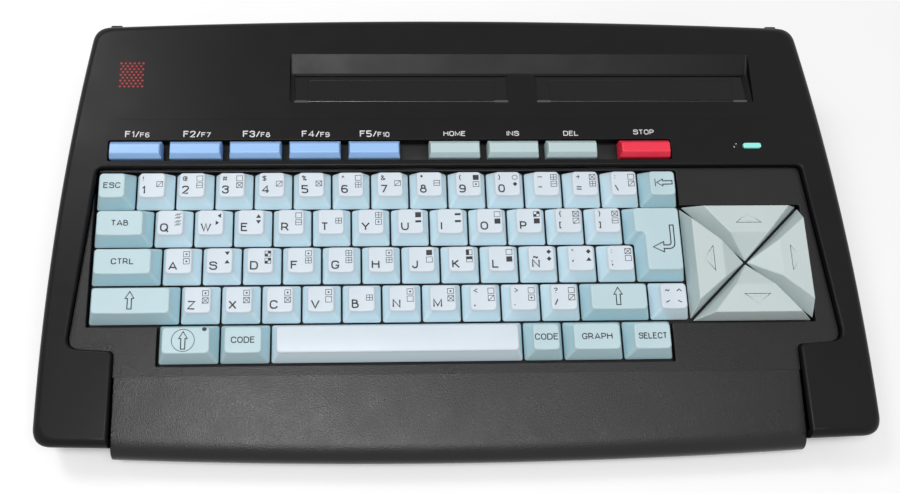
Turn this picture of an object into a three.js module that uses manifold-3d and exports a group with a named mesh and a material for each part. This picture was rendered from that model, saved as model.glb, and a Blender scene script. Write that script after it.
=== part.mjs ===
// Vintage home computer: keyboard, electronics and two cartridge slots in one wedge-shaped case.
// Millimetres, X to the right, Y to the rear, Z up. The origin is on the table, under the middle of the case.
// The deck is the sloping top surface. In its own frame u runs right, v runs rearwards up the slope and w is
// the height above the surface; the deck group turns that frame into place.

import * as THREE from 'three';
import { ConvexGeometry } from 'three/addons/geometries/ConvexGeometry.js';
import { mergeVertices } from 'three/addons/utils/BufferGeometryUtils.js';
import Module from 'manifold-3d';

const wasm = await Module();
wasm.setup();

// Fits and walls
const fitGap = 0.3; // between pieces that seat on or in each other
const overrun = 3; // how far a cutter runs past what it cuts
const sameSpot = 0.001; // two points of an outline this near are one
const caseWall = 3;
const skin = 2.5; // deck, bezel and floor plates

// Deck
const deckTilt = THREE.MathUtils.degToRad(7);
const deckHeight = 35.7; // above the table, at mid depth

// Typing keys
const keyPitch = 19.05;
const skirtGap = 1; // between the skirts of two neighbours
const keyRise = 5; // tops above the deck
const skirtDepth = 4.5; // lower edges below the deck
const keyDraw = 2.6; // how far each side leans in from skirt to top
const keyEdge = 0.8; // bevel round the top
const keyLean = 0.5; // tops lie this much towards the rear
const skirtRound = 1.3;
const topRound = 2;
const keyTravel = 3.5;
const stemWidth = 4.4; // square plungers, so that a key can't turn in its guide
const stemDepth = 12; // stems' lower ends below the deck
const spaceStemSpread = 40; // the space bar's side stems, from its middle

// Rows from the rear to the front: the share of a pitch where each starts, then each key's name and its
// width as a share of the pitch. Keys without a name are fixed to the key frame.
const plainKeys = (count) => Array.from({ length: count }, () => ['', 1]);
const homeKeys = ['a', 's', 'd', 'f', 'g', 'h', 'j', 'k', 'l', 'n_tilde', 'acute', 'semicolon'];
const rowShares = [
  { start: 0, keys: [['escape', 1], ...plainKeys(13), ['backspace', 1]] },
  { start: 0, keys: [['tab', 1.5], ...plainKeys(12)] },
  { start: 0, keys: [['control', 1.75], ...homeKeys.map((name) => [name, 1])] },
  { start: 0, keys: [['shift_left', 2.25], ...plainKeys(10), ['shift_right', 1.75], ['', 1]] },
  {
    start: 1.75,
    keys: [
      ['caps', 1.5], ['code_left', 1.25], ['space', 6.25], ['code_right', 1], ['graph', 1.5], ['select', 1.25],
    ],
  },
];
const blockShare = 15; // widths of the whole block, in pitches
const returnRowShare = 1; // the row that holds the upper part of the return key
const returnUpperShare = 1.5;
const returnLowerShare = 1.25;

// Cursor pad: four keys that share a square, parted along its diagonals
const padWidth = 60;
const padDepth = 58;
const padDraw = 2.4;
const padPlateau = 13.5; // depth of each raised face
const padOuterShare = 0.7; // half width of a raised face at its outer edge, as a share of the pad's
const padInnerShare = 0.32; // and at its inner edge
const padParting = 0.4; // half the parting between two keys
const padCentreDepth = 1.2; // the middle of the pad, below the deck
const padRowShare = 2.5; // the pad's middle, in pitches from the front of the key block
const padStemShare = 0.6; // stem's place from the middle, as a share of half the pad

// Function keys
const barWidth = 25.4;
const barPitch = 29.25;
const barDepth = 9;
const barRise = 3.5;
const barFaceRise = 0.4; // where the front bevel starts
const barBevel = 2.9;
const barDraw = 0.6;
const homeBarGap = 10.6; // extra gap before the home key
const stopBarGap = 7.6; // extra gap before the stop key
const barLead = 5.8; // the first bar's left end, right of the key block's left end
const barNames = ['f1', 'f2', 'f3', 'f4', 'f5', 'home', 'insert', 'delete', 'stop'];
const homeBar = 5; // places in the list above
const stopBar = 8;

// Plan of the case, from left to right
const leftMargin = 21.2;
const padGap = 0.6; // between the key block and the cursor pad
const rightMargin = 24.4;
const rearNarrowing = 15; // how much nearer to the middle each side is at the rear
const sideBulge = 1; // the sides' control points beyond the front corners
const sideRound = 8.5;
const rearRound = 7.5;

// Plan of the case, from front to rear
const palmDepth = 39.8;
const wellRearMargin = 3.85;
const slotRim = 1.9; // between the well and the function-key slot
const barSlotMargin = 0.8; // round the function keys
const labelBand = 20.4; // from the function-key slot to the scoop
const scoopFloorDepth = 17.7;
const scoopSlopeDepth = 9.3;
const rearMargin = 20.6;
const rearBow = 4; // the rear edge's middle beyond its corners
const frontBow = 3;

// Top cover
const coverDepth = 11.5; // from the deck to the parting line
const coverEdge = 4.2; // the rounded upper edge
const coverDraft = 0.6;
const edgeSteps = 3;
const rimDepth = 8; // the well's rim below the deck
const ledgeWidth = 2.5;
const ledgeDepth = 5.8;
const wellSideInset = 12.6; // from the case's side to the well, at the front of the well
const wellTaper = 8.8; // how much nearer to the middle the well's sides are at its rear
const wellRound = 6;
const wellRearRound = 3;
const wellShoulder = 1.5; // the slant from the well's side to the palm rest
const palmInset = 35.7; // from the case's side to the palm rest
const shoulderRise = 8; // the front of the well, above the front of the key block

// Keyboard bezel and palm rest
const bezelDrop = 3; // surface below the deck
const bezelPlate = 2.5;
const keyWindowMargin = 0.7;
const lipDrop = 4.4; // where the palm rest starts to round down, below the deck
const lipSetback = 12;
const lipOverhang = 6.6; // the lip's middle beyond the case's front
const lipBow = 4;
const lipThickness = 9;
const lipSteps = 5;
const palmStations = 8;
const palmHollowDepth = 7.2;

// Key frame, dome mat and backplate
const frameTop = 8.6;
const framePlate = 2;
const frameMargin = 1.2;
const frameRimWall = 2;
const matPlate = 1;
const backplatePlate = 1;
const framePostRadius = 3; // posts under the bezel that hold the frame down

// Scoop and cartridge slots
const scoopLip = 1.7; // front edge above the scoop's floor
const scoopFloorPlate = 2;
const scoopSideMargin = 2.2;
const slotWidth = 108.4;
const slotGap = 14.8;
const slotDepth = 16.6; // from front to rear
const slotFrontMargin = 0.5;
const slotsOffset = 36.6; // middle of the pair, right of the case's middle
const shaftWall = 3;
const shaftDepth = 15; // below the scoop's floor

// Cartridge doors
const doorPlate = 1.8;
const doorBarrel = 1.6; // radius of the hinge barrel
const doorPin = 1.2; // radius
const doorPinLength = 2.2;
const doorRib = 2.5;
const pinPlay = 0.3;

// Main board, chips and cartridge connectors
const boardThickness = 1.6;
const boardInset = 24.975; // from the case's rear corners to the board's ends
const boardDepth = 112;
const boardRearGap = 4;
const chipHeight = 3.6;
const chipWidth = 15;
const chipLengths = [52, 36, 36, 20, 20, 52];
const chipGap = 12;
const chipLane = 16; // from the board's front edge to the chips
const connectorHeight = 8.4;
const connectorDepth = 10;
const connectorWidth = 70;
const connectorSlotWidth = 62;
const connectorSlot = 2.4;
const connectorSlotDepth = 6;

// Bottom case
const footHeight = 4; // the floor above the table
const bottomInset = 1.5;
const bottomDraft = 3;
const bottomChamfer = 2.5;
const boardPostRadius = 3.5;
const coverPostRadius = 4;
const coverPostInset = 18;
const coverPostSplit = 14; // height of the joint between upper and lower posts
const bearerWidth = 2; // ribs that carry the backplate
const bearerInset = 6; // from the ends of the keyboard
const ventLength = 26;
const ventWidth = 3;
const ventPitch = 8;
const ventCount = 9;
const ventSpread = 80; // the two groups of air slots, from the middle
const ventPlace = 20; // from the case's middle towards the rear
const footRadius = 7;
const footSink = 1;
const footSideInset = 24;
const footEndInset = 20;

// Rear panel and what it holds
const panelWidth = 292;
const panelLow = 10.6;
const panelHigh = 31;
const panelWall = 2.5;
const panelSetback = 7.5; // from the rear edge's middle
const socketDepth = 14;
const socketProud = 0.5;
const roundSocketWidth = 19;
const roundSocketHeight = 18;
const roundSocketRadius = 7.2;
const roundSocketCavity = 8;
const powerInletWidth = 11;
const powerInletHeight = 12;
const powerInletRadius = 3.3;
const powerInletCavity = 9;
const printerWidth = 46;
const printerHeight = 13;
const printerCavityWidth = 36;
const printerCavityHeight = 7.4;
const printerCavity = 7;
const joystickWidth = 66;
const joystickHeight = 13.4;
const joystickPitch = 32;
const joystickCavityWide = 17.4;
const joystickCavityNarrow = 15;
const joystickCavityHeight = 8.6;
const joystickCavity = 6.5;
const inletPlace = -124; // places along the rear panel, from the case's middle
const switchPlace = -96;
const cassettePlace = -56;
const videoPlace = -28;
const printerPlace = 24;
const joystickPlace = 100;
const rearTabWidth = 6;
const rearTabLength = 2.4;
const rearTabHeight = 4;
const rearTabInset = 10;

// Power switch: a rocker on a pin between two cheeks behind the panel
const rockerWidth = 13;
const rockerHeight = 16;
const rockerDepth = 9;
const rockerProud = 2.4;
const rockerSwing = THREE.MathUtils.degToRad(9); // to each side of level
const rockerPivotDepth = 4.5; // behind the panel's face
const rockerPin = 1.5;
const rockerPinLength = 2.4;
const cheekWall = 3;
const cheekDepth = 8;
const rockerPlay = 1.1;

// Power lens
const lensLength = 9.2;
const lensWidth = 2.8;
const lensProud = 0.4;
const lensFlange = 1.2;
const lensFlangePlate = 1.2;
const lensInset = 40.6; // from the case's right side
const lensForward = 3.6; // its middle in front of the rear of the function-key slot

// Facets
const roundSides = 20;
const pinSides = 12;
const curveSteps = 6;
const capCornerSteps = 2;

// Materials
const finish = (color, roughness) => new THREE.MeshStandardMaterial({ color, roughness, flatShading: true });
const smoothBlack = finish(0x201f22, 0.55);
const grainBlack = finish(0x1b1a1d, 0.7);
const insideBlack = finish(0x141416, 0.8);
const keyWhite = finish(0xe2e6f0, 0.5);
const keyGreyGreen = finish(0xb4cacc, 0.5);
const keyBlue = finish(0x6f9be0, 0.4);
const keyPale = finish(0xb9d0c8, 0.4);
const keyRed = finish(0xd8232f, 0.35);
const padGreen = finish(0xb7cac4, 0.5);
const rubberGrey = finish(0x3a3a3c, 0.9);
const boardGreen = finish(0x2d5a3a, 0.6);
const lensGreen = finish(0x7fe3c4, 0.25);
const steel = new THREE.MeshStandardMaterial({ color: 0x9a9da0, roughness: 0.4, metalness: 1 });

// Places that follow from the sizes: from left to right
const blockWidth = blockShare * keyPitch;
const frontWidth = leftMargin + blockWidth + padGap + padWidth + rightMargin;
const sideFront = frontWidth / 2;
const sideRear = sideFront - rearNarrowing;
const blockLeft = -sideFront + leftMargin;
const blockRight = blockLeft + blockWidth;
const padLeft = blockRight + padGap;
const padRight = padLeft + padWidth;
const padMiddle = (padLeft + padRight) / 2;
const palmHalf = sideFront - palmInset;

// From front to rear
const rowCount = rowShares.length;
const barSlotDepth = barDepth + 2 * barSlotMargin;
const caseDepth = palmDepth + rowCount * keyPitch + wellRearMargin + slotRim + barSlotDepth + labelBand
  + scoopFloorDepth + scoopSlopeDepth + rearMargin;
const caseFront = -caseDepth / 2;
const caseRear = caseDepth / 2;
const rowsFront = caseFront + palmDepth;
const rowsRear = rowsFront + rowCount * keyPitch;
const wellRear = rowsRear + wellRearMargin;
const barSlotFront = wellRear + slotRim;
const barSlotRear = barSlotFront + barSlotDepth;
const barMiddle = (barSlotFront + barSlotRear) / 2;
const scoopFront = barSlotRear + labelBand;
const scoopRear = scoopFront + scoopFloorDepth + scoopSlopeDepth;
const lipFront = caseFront - lipOverhang;
const palmRear = rowsFront + shoulderRise - wellShoulder - wellRound;
const padCentre = rowsFront + padRowShare * keyPitch;

// Below the deck
const frameBottom = frameTop + framePlate;
const frameRimDepth = stemDepth + keyTravel;
const matTop = frameRimDepth + fitGap;
const matBottom = matTop + matPlate;
const backplateTop = matBottom + fitGap;
const backplateBottom = backplateTop + backplatePlate;
const bottomTop = coverDepth + fitGap;

// The deck group: its middle is over the middle of the whole length, lip and rear tabs included
const deck = new THREE.Group();
deck.rotation.x = deckTilt;
deck.position.z = deckHeight;
deck.position.y = -(lipFront + caseRear + rearTabLength) / 2 * Math.cos(deckTilt);
deck.updateMatrixWorld(true);
const deckToCase = deck.matrixWorld.clone();
const caseToDeck = deckToCase.clone().invert();
const deckPoint = (u, v, w) => new THREE.Vector3(u, v, w).applyMatrix4(deckToCase);

// A closed geometry becomes a solid once its shared corners are merged.
function solid(geometry, matrix) {
  const bare = geometry.clone();
  bare.deleteAttribute('normal');
  bare.deleteAttribute('uv');
  if (matrix) bare.applyMatrix4(matrix);
  const merged = mergeVertices(bare);
  const vertProperties = Float32Array.from(merged.attributes.position.array);
  const triVerts = Uint32Array.from(merged.index.array);
  return new wasm.Manifold(new wasm.Mesh({ numProp: 3, vertProperties, triVerts }));
}

const joined = (first, others) => others.reduce((sum, other) => sum.add(other), first);
const cut = (first, others) => others.reduce((rest, other) => rest.subtract(other), first);

function geometryOf(body) {
  const mesh = body.getMesh();
  const geometry = new THREE.BufferGeometry();
  geometry.setAttribute('position', new THREE.BufferAttribute(Float32Array.from(mesh.vertProperties), 3));
  geometry.setIndex(new THREE.BufferAttribute(Uint32Array.from(mesh.triVerts), 1));
  geometry.computeVertexNormals();
  return geometry;
}

function piece(name, body, material) {
  const mesh = new THREE.Mesh(geometryOf(body), material);
  mesh.name = name;
  return mesh;
}

// A box between two limits on each axis.
function block([x0, x1], [y0, y1], [z0, z1], matrix) {
  const geometry = new THREE.BoxGeometry(x1 - x0, y1 - y0, z1 - z0);
  geometry.translate((x0 + x1) / 2, (y0 + y1) / 2, (z0 + z1) / 2);
  return solid(geometry, matrix);
}

const about = (middle, width) => [middle - width / 2, middle + width / 2];

// A round bar between two heights, standing at a place.
function post(x, y, radius, [low, high], sides, matrix) {
  const geometry = new THREE.CylinderGeometry(radius, radius, high - low, sides);
  geometry.rotateX(Math.PI / 2);
  geometry.translate(x, y, (low + high) / 2);
  return solid(geometry, matrix);
}

// A round bar along X between two places.
function bar([x0, x1], y, z, radius, sides) {
  const geometry = new THREE.CylinderGeometry(radius, radius, x1 - x0, sides);
  geometry.rotateZ(Math.PI / 2);
  geometry.translate((x0 + x1) / 2, y, z);
  return solid(geometry);
}

// A round bore along Y between two places.
function bore(x, z, radius, [y0, y1], sides) {
  const geometry = new THREE.CylinderGeometry(radius, radius, y1 - y0, sides);
  geometry.translate(x, (y0 + y1) / 2, z);
  return solid(geometry);
}

// The body between stacked rings with the same number of points, the lowest first, each counter-clockwise.
function loft(rings, matrix) {
  const count = rings[0].length;
  const positions = rings.flat().flatMap((point) => [point.x, point.y, point.z]);
  const indices = [];
  for (let level = 0; level < rings.length - 1; level += 1) {
    for (let place = 0; place < count; place += 1) {
      const next = (place + 1) % count;
      const [a, b] = [level * count + place, level * count + next];
      const [c, d] = [a + count, b + count];
      indices.push(a, b, d, a, d, c);
    }
  }
  const plan = rings[0].map((point) => new THREE.Vector2(point.x, point.y));
  const faces = THREE.ShapeUtils.triangulateShape(plan, []);
  const last = (rings.length - 1) * count;
  for (const [a, b, c] of faces) {
    indices.push(c, b, a, last + a, last + b, last + c);
  }
  const geometry = new THREE.BufferGeometry();
  geometry.setAttribute('position', new THREE.Float32BufferAttribute(positions, 3));
  geometry.setIndex(indices);
  return solid(geometry, matrix);
}

const ringAt = (points, height, lean = 0) => points
  .map((point) => new THREE.Vector3(point.x, point.y + lean, height));
const prism = (points, [low, high], matrix) => loft([ringAt(points, low), ringAt(points, high)], matrix);

// A counter-clockwise outline of corners, each { x, y, round, bow }: bow is the control point of the side
// that leaves the corner, and round is how far from the corner its rounding starts.
function outline(corners, steps) {
  const count = corners.length;
  const at = (corner) => new THREE.Vector2(corner.x, corner.y);
  const towards = (from, to, distance) => from.clone()
    .add(to.clone().sub(from).normalize().multiplyScalar(distance));
  const path = new THREE.Path();
  const controls = corners.map((corner, place) => corner.bow ?? at(corners[(place + 1) % count]));
  const arrivals = corners.map((corner, place) => corners[(place + count - 1) % count].bow
    ?? at(corners[(place + count - 1) % count]));
  const start = towards(at(corners[0]), controls[0], corners[0].round);
  path.moveTo(start.x, start.y);
  corners.forEach((corner, place) => {
    const nextPlace = (place + 1) % count;
    const next = corners[nextPlace];
    const end = towards(at(next), arrivals[nextPlace], next.round);
    if (corner.bow) path.quadraticCurveTo(corner.bow.x, corner.bow.y, end.x, end.y);
    else path.lineTo(end.x, end.y);
    const leave = towards(at(next), controls[nextPlace], next.round);
    if (next.round > 0) path.quadraticCurveTo(next.x, next.y, leave.x, leave.y);
  });
  const points = path.getPoints(steps);
  const distinct = points
    .filter((point, place) => place === 0 || point.distanceTo(points[place - 1]) > sameSpot);
  if (distinct[0].distanceTo(distinct[distinct.length - 1]) < sameSpot) distinct.pop();
  return distinct;
}

// The outline moved inwards by a distance, or outwards by a negative one, with mitred corners.
function inset(points, distance) {
  const count = points.length;
  return points.map((point, place) => {
    const before = point.clone().sub(points[(place + count - 1) % count]).normalize();
    const after = points[(place + 1) % count].clone().sub(point).normalize();
    const normals = [before, after].map((side) => new THREE.Vector2(-side.y, side.x));
    const sum = normals[0].clone().add(normals[1]);
    return point.clone().add(sum.multiplyScalar(distance / (1 + normals[0].dot(normals[1]))));
  });
}

const rectangle = ([x0, x1], [y0, y1]) => [[x0, y0], [x1, y0], [x1, y1], [x0, y1]]
  .map(([x, y]) => new THREE.Vector2(x, y));
const rounded = (points, round, steps) => outline(
  points.map((point) => ({ x: point.x, y: point.y, round })), steps);

// Plan of the case in the deck's frame, inside its edge by a margin: sides that bulge and close in to the
// rear, and a bowed front and rear.
function caseOutline(margin) {
  const [front, rear] = [caseFront + margin, caseRear - margin];
  const [wide, narrow] = [sideFront - margin, sideRear - margin];
  const bulge = wide + sideBulge;
  return outline([
    { x: -wide, y: front + frontBow, round: sideRound, bow: new THREE.Vector2(0, front - frontBow) },
    { x: wide, y: front + frontBow, round: sideRound, bow: new THREE.Vector2(bulge, 0) },
    { x: narrow, y: rear - rearBow, round: rearRound, bow: new THREE.Vector2(0, rear + rearBow) },
    { x: -narrow, y: rear - rearBow, round: rearRound, bow: new THREE.Vector2(-bulge, 0) },
  ], curveSteps);
}

// The well that the bezel fills: T-shaped, wide behind and as wide as the palm rest in front.
function wellOutline(margin) {
  const sideAtShoulder = sideFront - wellSideInset;
  const sideAtRear = sideAtShoulder - wellTaper;
  const shoulder = rowsFront + shoulderRise;
  const front = lipFront - overrun;
  const right = [
    { x: palmHalf, y: front, round: 0 },
    { x: palmHalf, y: shoulder - wellShoulder, round: 0 },
    { x: sideAtShoulder, y: shoulder, round: wellRound },
    { x: sideAtRear, y: wellRear, round: wellRearRound },
  ];
  const left = right.map((corner) => ({ ...corner, x: -corner.x })).reverse();
  return inset(outline([...right, ...left], curveSteps), margin);
}

// Top cover
function roundedSlab(depth, edge, draft) {
  const rings = [ringAt(caseOutline(draft), -depth)];
  for (let step = 0; step <= edgeSteps; step += 1) {
    const angle = (step / edgeSteps) * (Math.PI / 2);
    const inwards = edge * (1 - Math.cos(angle));
    rings.push(ringAt(caseOutline(inwards), -edge + edge * Math.sin(angle)));
  }
  return loft(rings);
}

const slotMiddles = [-1, 1].map((side) => slotsOffset + side * (slotWidth + slotGap) / 2);
const scoopSide = slotWidth / 2 + scoopSideMargin;
const scoopSpan = [slotMiddles[0] - scoopSide, slotMiddles[1] + scoopSide];
const scoopFrontPoint = deckPoint(0, scoopFront, 0);
const scoopRearPoint = deckPoint(0, scoopRear, 0);
const scoopFloor = scoopFrontPoint.z - scoopLip;
const scoopFloorUnder = scoopFloor - scoopFloorPlate;
const slotFront = scoopFrontPoint.y + slotFrontMargin;
const slotRear = slotFront + slotDepth;
const shaftLow = scoopFloor - shaftDepth;

// Door hinge: far enough behind and below the slot that the open door hangs clear of it
const doorTop = scoopFloor - fitGap;
const hingeHeight = scoopFloorUnder - fitGap - doorBarrel;
const hingePlace = slotRear + (doorTop - hingeHeight) + fitGap;
const pocketRear = hingePlace + doorBarrel + pinPlay;

// The sloping wall behind the scoop's floor, and the space above the floor
function scoopSpace() {
  const foot = new THREE.Vector2(scoopFrontPoint.y + scoopFloorDepth, scoopFloor);
  const brow = new THREE.Vector2(scoopRearPoint.y, scoopRearPoint.z);
  const above = brow.clone().add(brow.clone().sub(foot));
  const profile = [
    new THREE.Vector2(scoopFrontPoint.y, scoopFloor),
    foot,
    above,
    new THREE.Vector2(scoopFrontPoint.y, above.y),
  ];
  const ring = (x) => profile.map((point) => new THREE.Vector3(point.x, point.y, x));
  const acrossToCase = new THREE.Matrix4().makeBasis(
    new THREE.Vector3(0, 1, 0), new THREE.Vector3(0, 0, 1), new THREE.Vector3(1, 0, 0));
  return loft([ring(scoopSpan[0]), ring(scoopSpan[1])], caseToDeck.clone().multiply(acrossToCase));
}

const shaftOuter = (middle) => block(about(middle, slotWidth + 2 * shaftWall),
  [slotFront - shaftWall, pocketRear + shaftWall], [shaftLow, scoopFloor], caseToDeck);

function shaftInner(middle) {
  const across = about(middle, slotWidth);
  const bores = bar(about(middle, slotWidth + 2 * (doorPinLength + fitGap)), hingePlace, hingeHeight,
    doorPin + pinPlay, pinSides);
  return [
    block(across, [slotFront, slotRear], [shaftLow - overrun, scoopFloor + overrun], caseToDeck),
    block(across, [slotFront, pocketRear], [shaftLow - overrun, scoopFloorUnder], caseToDeck),
    bores.transform(caseToDeck.elements),
  ];
}

const barStarts = barNames.map((name, place) => blockLeft + barLead + place * barPitch
  + (place >= homeBar ? homeBarGap : 0) + (place >= stopBar ? stopBarGap : 0));
const barsRight = barStarts[barStarts.length - 1] + barWidth;
const barSlotSpan = [barStarts[0] - barSlotMargin, barsRight + barSlotMargin];

const lensPlace = [sideFront - lensInset - lensLength / 2, barSlotRear - lensForward];
const lensOutline = (margin) => rounded(
  rectangle(about(lensPlace[0], lensLength + 2 * margin), about(lensPlace[1], lensWidth + 2 * margin)),
  lensWidth / 2 + margin - fitGap / 2, capCornerSteps + 1);

// Screw posts stand behind the corners, each in two halves: one on the cover and one on the floor.
const coverPosts = [-1, 1].flatMap((side) => [
  deckPoint(side * (sideFront - coverPostInset), rowsFront - coverPostInset, 0),
  deckPoint(side * (sideRear - coverPostInset), caseRear - rearBow - coverPostInset, 0),
]);

function topCover() {
  const outer = roundedSlab(coverDepth, coverEdge, coverDraft);
  const inner = prism(caseOutline(caseWall + coverDraft), [-coverDepth - overrun, -skin]);
  const tall = [-caseDepth, caseDepth];
  const rim = prism(wellOutline(-ledgeWidth), [-rimDepth, 0]);
  const scoopBed = block([scoopSpan[0] - caseWall, scoopSpan[1] + caseWall],
    [slotFront - shaftWall, scoopRearPoint.y + caseWall], [scoopFloorUnder, deckHeight + caseDepth],
    caseToDeck);
  const shafts = slotMiddles.map(shaftOuter);
  const posts = coverPosts.map((place) => post(place.x, place.y, coverPostRadius,
    [coverPostSplit + fitGap, place.z - skin / 2], roundSides, caseToDeck));
  const cornerRear = caseRear - rearBow;
  const tabs = [-1, 1].map((side) => block(about(side * (sideRear - rearTabInset), rearTabWidth),
    [cornerRear - caseWall, cornerRear + rearTabLength], [-coverEdge - rearTabHeight, -coverEdge]));
  const roof = outer.intersect(joined(rim, [scoopBed]));
  const body = joined(cut(outer, [inner]), [roof, ...shafts, ...posts, ...tabs]);
  const barSlot = prism(rounded(rectangle(barSlotSpan, [barSlotFront, barSlotRear]), barSlotMargin, 1), tall);
  return cut(body, [
    prism(wellOutline(0), [-ledgeDepth, caseDepth]),
    prism(wellOutline(ledgeWidth), tall),
    keyWindow().intersect(prism(wellOutline(0), tall)),
    block(about(0, 2 * palmHalf), [lipFront - overrun, palmRear + fitGap], tall),
    barSlot,
    prism(lensOutline(fitGap), tall),
    scoopSpace(),
    ...slotMiddles.flatMap(shaftInner),
  ]);
}

// Keyboard bezel: the plate round the keys, and the palm rest with its rounded lip
function keyWindow() {
  const margin = keyWindowMargin;
  const deep = [-rimDepth - overrun, 0];
  const rows = block([blockLeft - margin, blockRight + margin],
    [rowsFront + keyPitch - margin, rowsRear + margin], deep);
  const last = rowShares[rowCount - 1];
  const lastWidth = last.keys.reduce((sum, [, share]) => sum + share * keyPitch, 0);
  const lastLeft = blockLeft + last.start * keyPitch;
  const front = block([lastLeft - margin, lastLeft + lastWidth + margin],
    [rowsFront - margin, rowsFront + 2 * keyPitch], deep);
  const pad = block([padLeft - margin, padRight + margin],
    about(padCentre, padDepth + 2 * margin), deep);
  return joined(rows, [front, pad]);
}

function palmRest() {
  const half = palmHalf - fitGap;
  const rear = palmRear;
  const innerFront = caseFront - lipOverhang + lipThickness;
  const stations = [];
  for (let step = 0; step <= palmStations; step += 1) {
    const across = -1 + (2 * step) / palmStations;
    const bow = lipBow * across * across;
    const brow = new THREE.Vector2(lipFront + lipSetback + bow, -lipDrop);
    const toe = new THREE.Vector2(lipFront + bow, -coverDepth);
    const bend = new THREE.QuadraticBezierCurve(brow, new THREE.Vector2(toe.x, brow.y), toe);
    const profile = [
      new THREE.Vector2(rear, -bezelDrop),
      ...bend.getPoints(lipSteps),
      new THREE.Vector2(innerFront + lipBow, -coverDepth),
      new THREE.Vector2(innerFront + lipBow, -palmHollowDepth),
      new THREE.Vector2(rear, -bezelDrop - bezelPlate),
    ];
    stations.push(profile.map((point) => new THREE.Vector3(point.x, point.y, across * half)));
  }
  const acrossToDeck = new THREE.Matrix4().makeBasis(
    new THREE.Vector3(0, 1, 0), new THREE.Vector3(0, 0, 1), new THREE.Vector3(1, 0, 0));
  return loft(stations, acrossToDeck);
}

const framePosts = [
  [blockLeft + (rowShares[rowCount - 1].start - 1 / 2) * keyPitch, rowsFront + keyPitch / 2],
  [padMiddle, (rowsFront + padCentre - padDepth / 2) / 2],
  [padMiddle, (padCentre + padDepth / 2 + wellRear) / 2],
];

function keyboardBezel() {
  const plate = prism(wellOutline(fitGap), [-bezelDrop - bezelPlate, -bezelDrop])
    .subtract(block(about(0, frontWidth), [lipFront - 2 * overrun, rowsFront], [-rimDepth, 0]));
  const posts = framePosts.map(([u, v]) => post(u, v, framePostRadius,
    [-frameTop + fitGap, -bezelDrop - bezelPlate / 2], roundSides));
  return cut(joined(plate, [palmRest(), ...posts]), [keyWindow()]);
}

// Keys
const skirt = (width) => rectangle(about(0, width - skirtGap), about(0, keyPitch - skirtGap));
const stem = (x, y) => block(about(x, stemWidth), about(y, stemWidth), [-stemDepth, -skirtDepth + keyEdge]);

function cap(corners, stems) {
  const shoulder = inset(corners, keyDraw);
  const top = inset(corners, keyDraw + keyEdge);
  const body = loft([
    ringAt(rounded(corners, skirtRound, capCornerSteps), -skirtDepth),
    ringAt(rounded(shoulder, topRound, capCornerSteps), keyRise - keyEdge, keyLean),
    ringAt(rounded(top, topRound, capCornerSteps), keyRise, keyLean),
  ]);
  return joined(body, stems.map(([x, y]) => stem(x, y)));
}

const stemPlaces = (width) => (width > 4 * keyPitch ? [-spaceStemSpread, 0, spaceStemSpread] : [0]);
const stemsFor = (width) => stemPlaces(width).map((x) => [x, 0]);

// Every typing key but the return key, with its middle and its width in the deck's frame
function typingKeys() {
  return rowShares.flatMap((row, place) => {
    let left = blockLeft + row.start * keyPitch;
    return row.keys.map(([name, share]) => {
      const width = share * keyPitch;
      const middle = new THREE.Vector3(left + width / 2, rowsRear - (place + 1 / 2) * keyPitch, 0);
      left += width;
      return { name, middle, width };
    });
  });
}

function returnKey() {
  const right = keyPitch / 2 + (returnUpperShare - 1) * keyPitch;
  const upperLeft = right - returnUpperShare * keyPitch + skirtGap / 2;
  const lowerLeft = right - returnLowerShare * keyPitch + skirtGap / 2;
  const rightEdge = right - skirtGap / 2;
  const rear = keyPitch - skirtGap / 2;
  const corners = [
    [lowerLeft, -rear], [rightEdge, -rear], [rightEdge, rear], [upperLeft, rear], [upperLeft, skirtGap / 2],
    [lowerLeft, skirtGap / 2],
  ].map(([x, y]) => new THREE.Vector2(x, y));
  const middle = new THREE.Vector3(blockRight - right, rowsRear - (returnRowShare + 1) * keyPitch, 0);
  return { corners, middle, stems: [[0, -keyPitch / 2], [0, keyPitch / 2]] };
}

// One cursor key, with its outer edge towards +Y of its own frame
function padKey(halfWidth, halfDepth) {
  const edge = halfDepth - padDraw;
  const across = (half, y, z) => [[half, y, z], [-half, y, z]];
  const points = [
    ...across(halfWidth - padParting * 2, halfDepth, -skirtDepth),
    [0, padParting * 2, -skirtDepth],
    [0, padParting * 2, -padCentreDepth],
    ...across(padOuterShare * halfWidth, edge, keyRise),
    ...across(padInnerShare * halfWidth, edge - padPlateau, keyRise),
  ];
  const body = solid(new ConvexGeometry(points.map(([x, y, z]) => new THREE.Vector3(x, y, z))));
  return body.add(stem(0, padStemShare * halfDepth));
}

const padKeys = [
  { name: 'cursor_up', turn: 0, halves: [padWidth / 2, padDepth / 2] },
  { name: 'cursor_left', turn: Math.PI / 2, halves: [padDepth / 2, padWidth / 2] },
  { name: 'cursor_down', turn: Math.PI, halves: [padWidth / 2, padDepth / 2] },
  { name: 'cursor_right', turn: -Math.PI / 2, halves: [padDepth / 2, padWidth / 2] },
];

function functionKey() {
  const foot = rectangle(about(0, barWidth), about(0, barDepth));
  const top = rectangle(about(0, barWidth - 2 * barDraw), [barBevel - barDepth / 2, barDepth / 2 - barDraw]);
  const body = loft([ringAt(foot, -skirtDepth), ringAt(foot, barFaceRise), ringAt(top, barRise)]);
  return body.add(stem(0, 0));
}

// Key frame: the plate that guides the stems, its rim, and the plain keys that stand on it
const stemHole = (u, v) => block(about(u, stemWidth + 2 * fitGap), about(v, stemWidth + 2 * fitGap),
  [-frameBottom - overrun, -frameTop + overrun]);

function padStems() {
  return padKeys.map(({ turn, halves }) => [
    padMiddle - Math.sin(turn) * padStemShare * halves[1],
    padCentre + Math.cos(turn) * padStemShare * halves[1],
  ]);
}

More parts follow.
